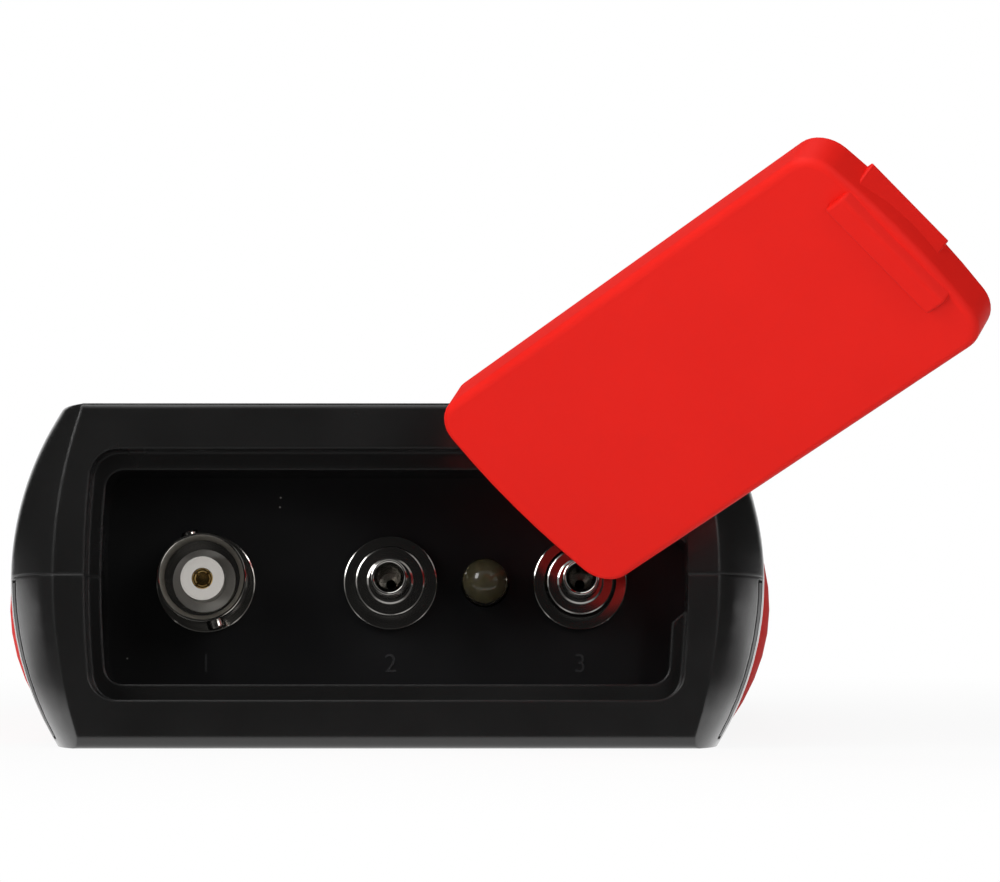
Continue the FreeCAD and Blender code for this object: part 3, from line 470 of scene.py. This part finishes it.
def turned(rings, place, sides=64, tube=False):
    # A round piece drawn out ring by ring, each a distance along its axis and a radius
    distance, radius = rings[0]
    bpy.ops.object.select_all(action="DESELECT")
    start = (0, 0, distance)
    bpy.ops.mesh.primitive_circle_add(vertices=sides, radius=radius, location=start, fill_type="NGON")
    piece = bpy.context.object
    edit()
    for (d0, r0), (d1, r1) in zip(rings, rings[1:]):
        bpy.ops.mesh.extrude_region_move(TRANSFORM_OT_translate={"value": (0, 0, d1 - d0)})
        bpy.ops.transform.resize(value=(r1 / r0, r1 / r0, 1), center_override=(0, 0, d1))
    if tube:
        pick("FACE", lambda face: len(face.verts) == sides)
        bpy.ops.mesh.delete(type="FACE")
        pick("EDGE", lambda edge: edge.is_boundary)
        bpy.ops.mesh.bridge_edge_loops()
    bpy.ops.mesh.select_all(action="SELECT")
    bpy.ops.mesh.normals_make_consistent(inside=False)
    done()
    return seat(piece, place)


def block(x0, x1, y0, y1, z0, z1):
    # A square block to shape further, left in edit mode
    bpy.ops.object.select_all(action="DESELECT")
    middle = ((x0 + x1) / 2, (y0 + y1) / 2, (z0 + z1) / 2)
    bpy.ops.mesh.primitive_cube_add(size=1, location=middle, scale=(x1 - x0, y1 - y0, z1 - z0))
    bpy.ops.object.transform_apply(location=True, rotation=True, scale=True)
    edit()
    return bpy.context.object


def scaled(rings):
    return [(distance * MM, radius * MM) for distance, radius in rings]


# Places: a round port's own axis points out of the panel
OUTWARD = Matrix.Rotation(math.radians(90), 4, "X")
LYING = Matrix.Rotation(-TILT, 4, "X")
SWIVEL = joints["cover_swivel"]
NOD = joints["cover_tilt"]
PIVOT = Matrix.Translation(NOD["pos_m"])
NODDED = Matrix.Rotation(-math.radians(NOD["range_deg"][1]), 4, Vector(NOD["axis"]))
SWUNG = Matrix.Rotation(-math.radians(SWIVEL["range_deg"][1]), 4, Vector(SWIVEL["axis"]))
SEATED = Vector((STALK_X, PIVOT_SEATED, STALK_Z))
COVER = PIVOT @ NODDED @ SWUNG @ LYING @ Matrix.Translation(-SEATED)
STALK = PIVOT @ LYING @ OUTWARD


def on_panel(x, z=0):
    return TESTER @ Matrix.Translation((x, FLOOR, z)) @ OUTWARD


def dome(centre, radius, first, last, steps):
    # Rings of a ball, from one angle to another, measured from its back
    angles = [math.radians(first + (last - first) * i / steps) for i in range(steps + 1)]
    return [(centre - radius * math.cos(a), radius * math.sin(a)) for a in angles]


def cover_shell():
    # The rubber plate: bowed ends, rounded corners and front edge, and a skirt round its hollow back
    shell = block(-COVER_L, COVER_L, COVER_FRONT, COVER_BACK, -COVER_H, COVER_H)
    levels = [COVER_H * i / 4 for i in range(-4, 5)]
    for level in levels[1:-1]:
        bpy.ops.mesh.select_all(action="SELECT")
        bpy.ops.mesh.bisect(plane_co=(0, 0, level), plane_no=(0, 0, 1))
    for side in (-1, 1):
        for level in levels:
            pick("VERT", lambda v: v.co.x * side > 0 and near(v.co.z, level))
            bpy.ops.transform.translate(value=(-side * COVER_BOW * (level / COVER_H) ** 2, 0, 0))
    corner = COVER_L - COVER_BOW
    pick("EDGE", lambda e: all(near(abs(v.co.x), corner) and near(abs(v.co.z), COVER_H) for v in e.verts)
         and abs(e.verts[0].co.y - e.verts[1].co.y) > MM)
    bpy.ops.mesh.bevel(offset=COVER_CORNER, segments=8, affect="EDGES")
    pick("FACE", lambda f: f.normal.y > 0.9)
    bpy.ops.mesh.inset(thickness=COVER_SKIRT)
    depth = COVER_BACK - COVER_FRONT - COVER_SKIN
    bpy.ops.mesh.extrude_region_move(TRANSFORM_OT_translate={"value": (0, -depth, 0)})
    pick("EDGE", lambda e: all(near(v.co.y, COVER_FRONT) for v in e.verts)
         and min(f.normal.y for f in e.link_faces) < -0.9 and max(f.normal.y for f in e.link_faces) > -0.1)
    bpy.ops.mesh.bevel(offset=COVER_EDGE, segments=5, affect="EDGES")
    pick("EDGE", lambda e: all(near(v.co.y, COVER_BACK) for v in e.verts)
         and min(f.normal.y for f in e.link_faces) < 0.1)
    bpy.ops.mesh.bevel(offset=SKIRT_EDGE, segments=2, affect="EDGES")
    pick("FACE", lambda f: f.normal.y < -0.999)
    bpy.ops.mesh.dissolve_faces()
    done()
    return shell


def cover_bar():
    # The finger bar at one end of the plate, leaning back towards the edge
    foot = -COVER_L + BAR_FOOT
    top = COVER_FRONT - BAR_H
    bar = block(foot, -COVER_L + BAR_IN + BAR_W, top, COVER_FRONT + BAR_ROOT, -BAR_L / 2, BAR_L / 2)
    pick("VERT", lambda v: near(v.co.x, foot) and near(v.co.y, top))
    bpy.ops.transform.translate(value=(BAR_IN - BAR_FOOT, 0, 0))
    pick("EDGE", lambda e: any(near(v.co.y, top) for v in e.verts))
    bpy.ops.mesh.bevel(offset=BAR_EDGE, segments=5, affect="EDGES")
    done()
    return bar


def cover_tongue():
    # The pull tongue, a wedge that rises out of the bowed end
    edge = -COVER_L
    first, last = TONGUE_AT - TONGUE_L / 2, TONGUE_AT + TONGUE_L / 2
    front = COVER_BACK - TONGUE_T
    tongue = block(edge - TONGUE_OUT, edge + TONGUE_ROOT, front, COVER_BACK, first, last)
    pick("VERT", lambda v: near(v.co.x, edge - TONGUE_OUT) and near(v.co.y, front))
    bpy.ops.transform.translate(value=(TONGUE_OUT + TONGUE_SINK, 0, 0))
    pick("EDGE", lambda e: all(v.co.x < edge + TONGUE_SINK + 0.1 * MM for v in e.verts)
         and any(v.co.y > front + MM for v in e.verts))
    bpy.ops.mesh.bevel(offset=TONGUE_EDGE, segments=4, affect="EDGES")
    done()
    return tongue


def cut_away(piece, tool):
    take_up([piece])
    cut = piece.modifiers.new("room", "BOOLEAN")
    cut.object = tool
    cut.operation = "DIFFERENCE"
    cut.solver = "EXACT"
    bpy.ops.object.modifier_apply(modifier=cut.name)
    bpy.data.objects.remove(tool)


def cover_socket():
    # The post behind the plate, with a ball socket open on the side that the neck swings to
    root = PIVOT_SEATED - COVER_FRONT - COVER_EDGE
    rim = BOSS_REACH - BOSS_EDGE
    behind = Matrix.Translation(SEATED) @ Matrix.Rotation(math.radians(-90), 4, "X")
    post = turned([(-root, BOSS_R), (rim, BOSS_R), (BOSS_REACH, BOSS_R - BOSS_EDGE)], behind)
    cup = turned(dome(0, SOCKET_R, 4, 176, 16), behind, 40)
    cut_away(post, cup)
    swing = (SWUNG @ LYING).inverted().to_3x3() @ Vector(NOD["axis"])
    along = Vector((0, 1, 0))
    full = math.radians(NOD["range_deg"][1] - NOD["range_deg"][0] + 1)
    steps = 5
    for i in range(steps + 1):
        way = Matrix.Rotation(full * i / steps, 3, swing) @ along
        turn = way.to_track_quat("Z", "Y").to_matrix().to_4x4()
        stem = turned([(0, STEM_ROOM), (STEM_CUT, STEM_ROOM)], Matrix.Translation(SEATED) @ turn, 24)
        cut_away(post, stem)
    return post


def port_cover():
    rubber = join([cover_shell(), cover_bar(), cover_tongue(), cover_socket()])
    seat(rubber, COVER)
    finish_piece(rubber, "cover_rubber", cover_red, "port_cover", "port_cover")


def cover_stem():
    # The neck with its ball and collar, the stalk with its bulb, and the ribbed sleeve in the panel
    collar, back = -COLLAR_FROM, -COLLAR_FROM - COLLAR_T
    edge = COLLAR_EDGE
    ball_from = math.degrees(math.asin(STEM_R / BALL_R))
    rings = [(back, COLLAR_R - edge), (back + edge, COLLAR_R), (collar - edge, COLLAR_R),
             (collar, COLLAR_R - edge), (collar + 0.1 * MM, STEM_R + edge), (collar + 2 * edge, STEM_R)]
    neck = turned(rings + dome(0, BALL_R, ball_from, 174, 14), STALK, 40)
    finish_piece(neck, "neck_rubber", cover_red, "cover_neck", "cover_neck")
    rings = [(-36.56, 1.5), (-36.3, 1.95), (-35.9, 2.22), (-35.4, 2.3), (-33.8, 2.3), (-33.6, 2.1),
             (-33.56, 1.6), (-33.4, 1.4), (-6.3, 1.4), (-6.02, 1.2)]
    stalk = turned(scaled(rings), STALK, 40)
    finish_piece(stalk, "stalk_rubber", cover_red, "cover_stalk", "cover_stalk")
    rings = [(-3.9, 3.0), (-3.7, 3.2), (-2.9, 3.2), (-2.7, 3.0), (-2.7, 2.5), (0.3, 2.5)]
    for i in range(3):
        rib = 0.5 + 1.3 * i
        rings += [(rib, 2.2), (rib + 0.3, 2.1), (rib + 0.6, 2.2), (rib + 0.8, 2.5), (rib + 1.1, 2.5)]
    rings += [(4.55, 2.45), (4.8, 2.2), (4.8, 1.9), (4.6, 1.7), (-3.9, 1.7)]
    sleeve = turned(scaled(rings), on_panel(STALK_X, STALK_Z), 48, tube=True)
    finish_piece(sleeve, "sleeve_rubber", cover_red, "cover_sleeve", "cover_sleeve")


def fibre_adapter(name, x, boss, bevel, made, node):
    # Thread and flange, a bevelled boss, a low collar, and the tube for a 2.5 mm ferrule
    rings = [(-7.0, 3.4), (-6.8, 3.6), (0, 3.6), (0, 5.1), (1.46, 5.1), (1.56, 5.06), (1.6, 4.96),
             (1.6, boss), (4.4 - bevel, boss), (4.35, boss - bevel + 0.1), (4.4, boss - bevel - 0.03),
             (4.4, 2.55), (4.93, 2.5), (5.0, 2.32), (5.0, 2.02), (5.07, 1.95), (11.47, 1.95),
             (11.56, 1.91), (11.6, 1.82), (11.6, 1.72), (11.55, 1.64), (11.3, 1.58), (10.9, 1.25),
             (-2.0, 1.25), (-2.2, 0.55), (-7.0, 0.55)]
    adapter = turned(scaled(rings), on_panel(x), 96, tube=True)
    finish_piece(adapter, name, made, "tester", node, METAL_CREASE)


def coax_jack():
    # Threaded back, flange, barrel with a bell mouth, and the two bayonet lugs
    rings = [(-10, 4.4), (-9.8, 4.6), (0, 4.6), (0, 5.4), (1.05, 5.4), (1.16, 5.36), (1.2, 5.25), (1.2, 4.8),
             (11.46, 4.8), (11.56, 4.76), (11.6, 4.7), (11.6, 4.6), (11.54, 4.53), (10.6, 4.12), (10.3, 4.05),
             (3.4, 4.05), (3.4, 3.4), (-10, 3.4)]
    jack = turned(scaled(rings), on_panel(COAX_X), 96, tube=True)
    lean = math.radians(LUG_LEAN)
    lugs = []
    for side in (-1, 1):
        way = side * Vector((-math.sin(lean), math.cos(lean), 0))
        turn = way.to_track_quat("Z", "Y").to_matrix().to_4x4()
        rings = [(4.4, 1.0), (5.25, 1.0), (5.42, 0.92), (5.475, 0.75)]
        place = on_panel(COAX_X) @ Matrix.Translation((0, 0, LUG_AT)) @ turn
        lugs.append(turned(scaled(rings), place, 32))
    jack = join([jack] + lugs)
    finish_piece(jack, "coax_barrel", coax_nickel, "tester", "bnc_shell", METAL_CREASE)


def coax_contact():
    # The gold socket in the middle of the jack, slit into four fingers
    rings = [(-13.0, 1.0), (-12.85, 1.15), (8.82, 1.15), (8.95, 1.09), (9.0, 1.0), (9.0, 0.86),
             (8.9, 0.74), (8.7, 0.68), (4.0, 0.68)]
    contact = turned(scaled(rings), on_panel(COAX_X), 48)
    for turn in (45, 135):
        slit = block(-SLIT_REACH, SLIT_REACH, -SLIT_W / 2, SLIT_W / 2, SLIT_FROM, SLIT_TO)
        done()
        cut_away(contact, seat(slit, on_panel(COAX_X) @ Matrix.Rotation(math.radians(turn), 4, "Z")))
    finish_piece(contact, "coax_contact", gold_plate, "tester", "bnc_contact", METAL_CREASE)


def torch_lamp():
    # The lens with its domed end, its rim behind the panel and its two legs
    rings = [(-3.5, 2.7), (-3.4, 2.9), (-2.6, 2.9), (-2.5, 2.5), (0, 2.5), (3.9, 2.5)]
    rings = scaled(rings) + dome(LAMP_DOME, LAMP_R, 90, 176, 18)
    lens = turned(rings, on_panel(LAMP_X), 72)
    legs = []
    for side in (-1, 1):
        place = on_panel(LAMP_X + side * LEG_SPREAD, LEG_RISE)
        legs.append(turned(scaled([(-22.0, 0.25), (-21.9, 0.3), (-3.3, 0.3)]), place, 16))
    lens = join([lens] + legs)
    finish_piece(lens, "lamp_lens", lamp_resin, "tester", "torch_led", LENS_CREASE)


def side_grip(name, side):
    # A rubber crescent let into the side of the case, thinning towards its edges and both ends
    ramps = [GRIP_RAMP * share for share in (0, 0.15, 0.35, 0.65, 1)]
    between = [GRIP_FROM + (GRIP_TO - GRIP_FROM) * i / 6 for i in range(1, 6)]
    stations = [GRIP_FROM + ramp for ramp in ramps] + between + [GRIP_TO - ramp for ramp in reversed(ramps)]
    levels = [MM * i / 8 for i in range(9)]
    grip = block(0, MM, GRIP_FROM, GRIP_TO, 0, MM)
    for station in stations[1:-1]:
        bpy.ops.mesh.select_all(action="SELECT")
        bpy.ops.mesh.bisect(plane_co=(0, station, 0), plane_no=(0, 1, 0))
    for level in levels[1:-1]:
        bpy.ops.mesh.select_all(action="SELECT")
        bpy.ops.mesh.bisect(plane_co=(0, 0, level), plane_no=(0, 0, 1))
    curve = (FRONT_H + REAR_H) / 2
    radius = (curve ** 2 + SIDE_BOW ** 2) / (2 * SIDE_BOW)
    for station in stations:
        low = GRIP_LIFT - REAR_H + station * math.tan(TILT)
        end = min(station - GRIP_FROM, GRIP_TO - station) / GRIP_RAMP
        full = math.sin(math.pi / 2 * min(1.0, end))
        for level in levels:
            share = level / MM
            height = low + (GRIP_TOP - low) * share
            wall = SIDE_W - radius + math.sqrt(radius ** 2 - height ** 2)
            crown = GRIP_LIP + GRIP_CROWN * (1 - (2 * share - 1) ** 2)
            for corner, goal in ((0, wall - GRIP_SINK), (MM, wall + crown * full)):
                pick("VERT", lambda v: near(v.co.x, corner) and near(v.co.y, station) and near(v.co.z, level))
                bpy.ops.transform.translate(value=(SHIFTED + goal - corner, 0, SHIFTED + height - level))
    bpy.ops.mesh.select_all(action="SELECT")
    bpy.ops.transform.translate(value=(-SHIFTED, 0, -SHIFTED))
    if side < 0:
        bpy.ops.transform.mirror(constraint_axis=(True, False, False), center_override=(0, 0, 0))
    bpy.ops.mesh.select_all(action="SELECT")
    bpy.ops.mesh.normals_make_consistent(inside=False)
    done()
    finish_piece(seat(grip, TESTER), name + "_rubber", grip_red, "tester", name)


def panel_numeral(figure, x):
    bpy.ops.object.select_all(action="DESELECT")
    bpy.ops.object.text_add()
    print_mark = bpy.context.object
    print_mark.data.body = figure
    print_mark.data.size = NUMERAL_SIZE
    print_mark.data.align_x = "CENTER"
    print_mark.data.extrude = NUMERAL_T
    bpy.ops.object.convert(target="MESH")
    edit()
    bpy.ops.mesh.select_all(action="SELECT")
    bpy.ops.mesh.remove_doubles(threshold=CLOSE / 2)
    done()
    print_mark = seat(bpy.context.object, on_panel(x, -NUMERAL_DROP))
    finish_piece(print_mark, "port_numeral_" + figure, numeral_black, "tester")


def spread_print(piece):
    # Gives a flat sign the thickness of its ink
    bpy.ops.mesh.select_all(action="SELECT")
    bpy.ops.mesh.extrude_region_move(TRANSFORM_OT_translate={"value": (0, 0, PRINT_T)})
    bpy.ops.mesh.select_all(action="SELECT")
    bpy.ops.mesh.normals_make_consistent(inside=False)
    done()
    return piece


def arrow(turn, x=0, size=1.9 * MM):
    bpy.ops.object.select_all(action="DESELECT")
    bpy.ops.mesh.primitive_circle_add(vertices=3, radius=size, fill_type="NGON")
    edit()
    piece = spread_print(bpy.context.object)
    return seat(piece, Matrix.Translation((x, 0, 0)) @ Matrix.Rotation(math.radians(turn), 4, "Z"))


def ring(size, width, gap=0.0):
    # A ring of ink, open at its top by the half angle gap
    bpy.ops.object.select_all(action="DESELECT")
    bpy.ops.mesh.primitive_circle_add(vertices=48, radius=size, fill_type="NGON")
    edit()
    bpy.ops.mesh.inset(thickness=width)
    bpy.ops.mesh.delete(type="FACE")
    if gap:
        limit = math.radians(gap)
        pick("FACE", lambda f: abs(math.atan2(f.calc_center_median().x, f.calc_center_median().y)) < limit)
        bpy.ops.mesh.delete(type="FACE")
    return spread_print(bpy.context.object)


def stroke(x, y, width, length, turn=0):
    bpy.ops.object.select_all(action="DESELECT")
    bpy.ops.mesh.primitive_plane_add(size=1)
    bpy.context.object.scale = (width, length, 1)
    bpy.ops.object.transform_apply(location=True, rotation=True, scale=True)
    edit()
    pick("VERT", lambda v: True)
    bpy.ops.mesh.bevel(offset=PRINT_CORNER, segments=3, affect="VERTICES")
    piece = spread_print(bpy.context.object)
    return seat(piece, Matrix.Rotation(math.radians(turn), 4, "Z") @ Matrix.Translation((x, y, 0)))


def key_signs():
    # One sign for each key, upright for someone who holds the port end up
    line = PRINT_LINE
    signs = {
        "up": [arrow(0)],
        "left": [arrow(90)],
        "down": [arrow(180)],
        "right": [arrow(270)],
        "ok": [ring(1.9 * MM, line)],
        "power": [ring(1.9 * MM, line, 32), stroke(0, 1.35 * MM, line, 1.9 * MM)],
        "torch": [ring(1.05 * MM, line)] + [stroke(0, 1.75 * MM, line, 0.75 * MM, 45 * i) for i in range(8)],
        "back": [arrow(90, -1.0 * MM, 1.5 * MM), stroke(1.1 * MM, 0, 2.6 * MM, line)],
        "test": [arrow(270, -0.6 * MM, 1.7 * MM), stroke(1.7 * MM, 0, line, 2.9 * MM)],
    }
    for name, strokes in signs.items():
        low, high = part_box("key_" + name)
        centre = TESTER.inverted() @ ((low + high) / 2)
        top = FRONT_H + KEY_PROUD - PRINT_T / 4
        place = TESTER @ Matrix.Translation((centre.x, centre.y, top)) @ Matrix.Rotation(math.pi, 4, "Z")
        sign = seat(join(strokes), place)
        finish_piece(sign, "sign_" + name, print_white, "key_" + name)


port_cover()
cover_stem()
fibre_adapter("meter_adapter", METER_X, 3.8, 0.18, meter_nickel, "opm_adapter")
fibre_adapter("laser_adapter", LASER_X, 3.9, 0.42, laser_nickel, "vfl_adapter")
coax_jack()
coax_contact()
torch_lamp()
side_grip("side_grip_right", 1)
side_grip("side_grip_left", -1)
for figure, port_x in (("1", COAX_X), ("2", METER_X), ("3", LASER_X)):
    panel_numeral(figure, port_x)
key_signs()


def seen_directly(tree):
    # One for rays from the camera, a mirror or a pane, none for the light that the surfaces share
    path = add(tree, "ShaderNodeLightPath")
    first = calculate(tree, "MAXIMUM", path.outputs["Is Camera Ray"], path.outputs["Is Glossy Ray"])
    return calculate(tree, "MAXIMUM", first, path.outputs["Is Transmission Ray"])


def table_top():
    bpy.ops.object.select_all(action="DESELECT")
    bpy.ops.mesh.primitive_plane_add(size=TABLE_SIZE)
    top = bpy.context.object
    top.name = "table_top"
    made, tree, bsdf = material("white_table")
    bsdf.inputs["Base Color"].default_value = (TABLE_GREY, TABLE_GREY, TABLE_GREY, 1)
    bsdf.inputs["Roughness"].default_value = TABLE_ROUGH
    place = add(tree, "ShaderNodeTexCoord")
    away = add(tree, "ShaderNodeVectorMath", operation="LENGTH")
    tree.links.new(place.outputs["Object"], away.inputs[0])
    fade = remap(tree, away.outputs["Value"], SHADOW_NEAR, SHADOW_FAR, SHADOW_GLOW, 1.0)
    share = calculate(tree, "MULTIPLY", seen_directly(tree), fade)
    axes = add(tree, "ShaderNodeSeparateXYZ")
    tree.links.new(place.outputs["Object"], axes.inputs["Vector"])
    front = remap(tree, axes.outputs["Y"], FLOOR_DARK, FLOOR_LIT, FLOOR_DIM, 1.0)
    side = calculate(tree, "ABSOLUTE", axes.outputs["X"])
    beside = remap(tree, side, NEAR_SIDE, FAR_SIDE, 1.0, 0.0)
    before = remap(tree, axes.outputs["Y"], FAR_FRONT, NEAR_FRONT, 0.0, 1.0)
    lit = calculate(tree, "MAXIMUM", front, calculate(tree, "MULTIPLY", beside, before))
    path = add(tree, "ShaderNodeLightPath")
    level = calculate(tree, "MAXIMUM", lit, path.outputs["Is Camera Ray"])
    glow = add(tree, "ShaderNodeEmission")
    tree.links.new(level, glow.inputs["Strength"])
    mix = add(tree, "ShaderNodeMixShader")
    tree.links.new(share, mix.inputs["Fac"])
    tree.links.new(bsdf.outputs["BSDF"], mix.inputs[1])
    tree.links.new(glow.outputs["Emission"], mix.inputs[2])
    tree.links.new(mix.outputs["Shader"], tree.nodes["Material Output"].inputs["Surface"])
    top.data.materials.append(made)


def room():
    world = bpy.data.worlds.new("studio")
    bpy.context.scene.world = world
    world.use_nodes = True
    tree = world.node_tree
    back = tree.nodes["Background"]
    path = add(tree, "ShaderNodeLightPath")
    place = add(tree, "ShaderNodeTexCoord")
    axes = add(tree, "ShaderNodeSeparateXYZ")
    tree.links.new(place.outputs["Generated"], axes.inputs["Vector"])
    depth = remap(tree, axes.outputs["Y"], -1.0, 1.0, 0.0, 1.0)
    sweep = add(tree, "ShaderNodeValToRGB")
    stops = sweep.color_ramp.elements
    for way, level in ROOM_LEVELS[1:-1]:
        stops.new((way + 1) / 2)
    for stop, (way, level) in zip(stops, ROOM_LEVELS):
        stop.position = (way + 1) / 2
        stop.color = (level, level, level, 1)
    tree.links.new(depth, sweep.inputs["Fac"])
    ambient = calculate(tree, "MULTIPLY", path.outputs["Is Diffuse Ray"], AMBIENT)
    soft = calculate(tree, "MAXIMUM", sweep.outputs["Color"], ambient)
    level = calculate(tree, "MAXIMUM", soft, path.outputs["Is Camera Ray"])
    tree.links.new(level, back.inputs["Strength"])
    back.inputs["Color"].default_value = (1, 1, 1, 1)


def softbox(name, way, distance, width, height, watts, mirrored=True):
    # A lamp that faces the port end, and that polished pieces mirror unless told otherwise
    lamp = bpy.data.lights.new(name, "AREA")
    lamp.shape = "RECTANGLE"
    lamp.size = width
    lamp.size_y = height
    lamp.energy = watts
    box = bpy.data.objects.new(name, lamp)
    bpy.context.scene.collection.objects.link(box)
    way = Vector(way).normalized()
    box.location = PORT_END + distance * way
    box.rotation_euler = way.to_track_quat("Z", "Y").to_euler()
    box.visible_camera = False
    box.visible_glossy = mirrored


def camera():
    lens = bpy.data.cameras.new("camera")
    lens.sensor_width = SENSOR_WIDTH
    lens.lens = FOCAL_PIXELS * SENSOR_WIDTH / PHOTO_WIDTH
    lens.clip_start = 0.01
    eye = bpy.data.objects.new("camera", lens)
    bpy.context.scene.collection.objects.link(eye)
    eye.location = PORT_END + Vector((CAMERA_SIDE, -CAMERA_AWAY, CAMERA_RISE))
    eye.rotation_euler = (math.radians(90 + CAMERA_PITCH), 0, 0)
    bpy.context.scene.camera = eye


table_top()
room()
softbox("left_softbox", (-0.67, -0.62, 0.43), 0.9, 0.28, 0.36, 2.2)
softbox("right_softbox", (0.42, -0.84, 0.33), 0.36, 0.11, 0.14, 0.18)
softbox("low_softbox", (-0.60, -0.80, 0.0), 0.27, 0.12, 0.03, 0.12, mirrored=False)
softbox("top_softbox", (-0.45, -0.1, 0.9), 0.9, 0.9, 0.9, 4.2)
camera()
bpy.context.scene.view_settings.view_transform = "Standard"
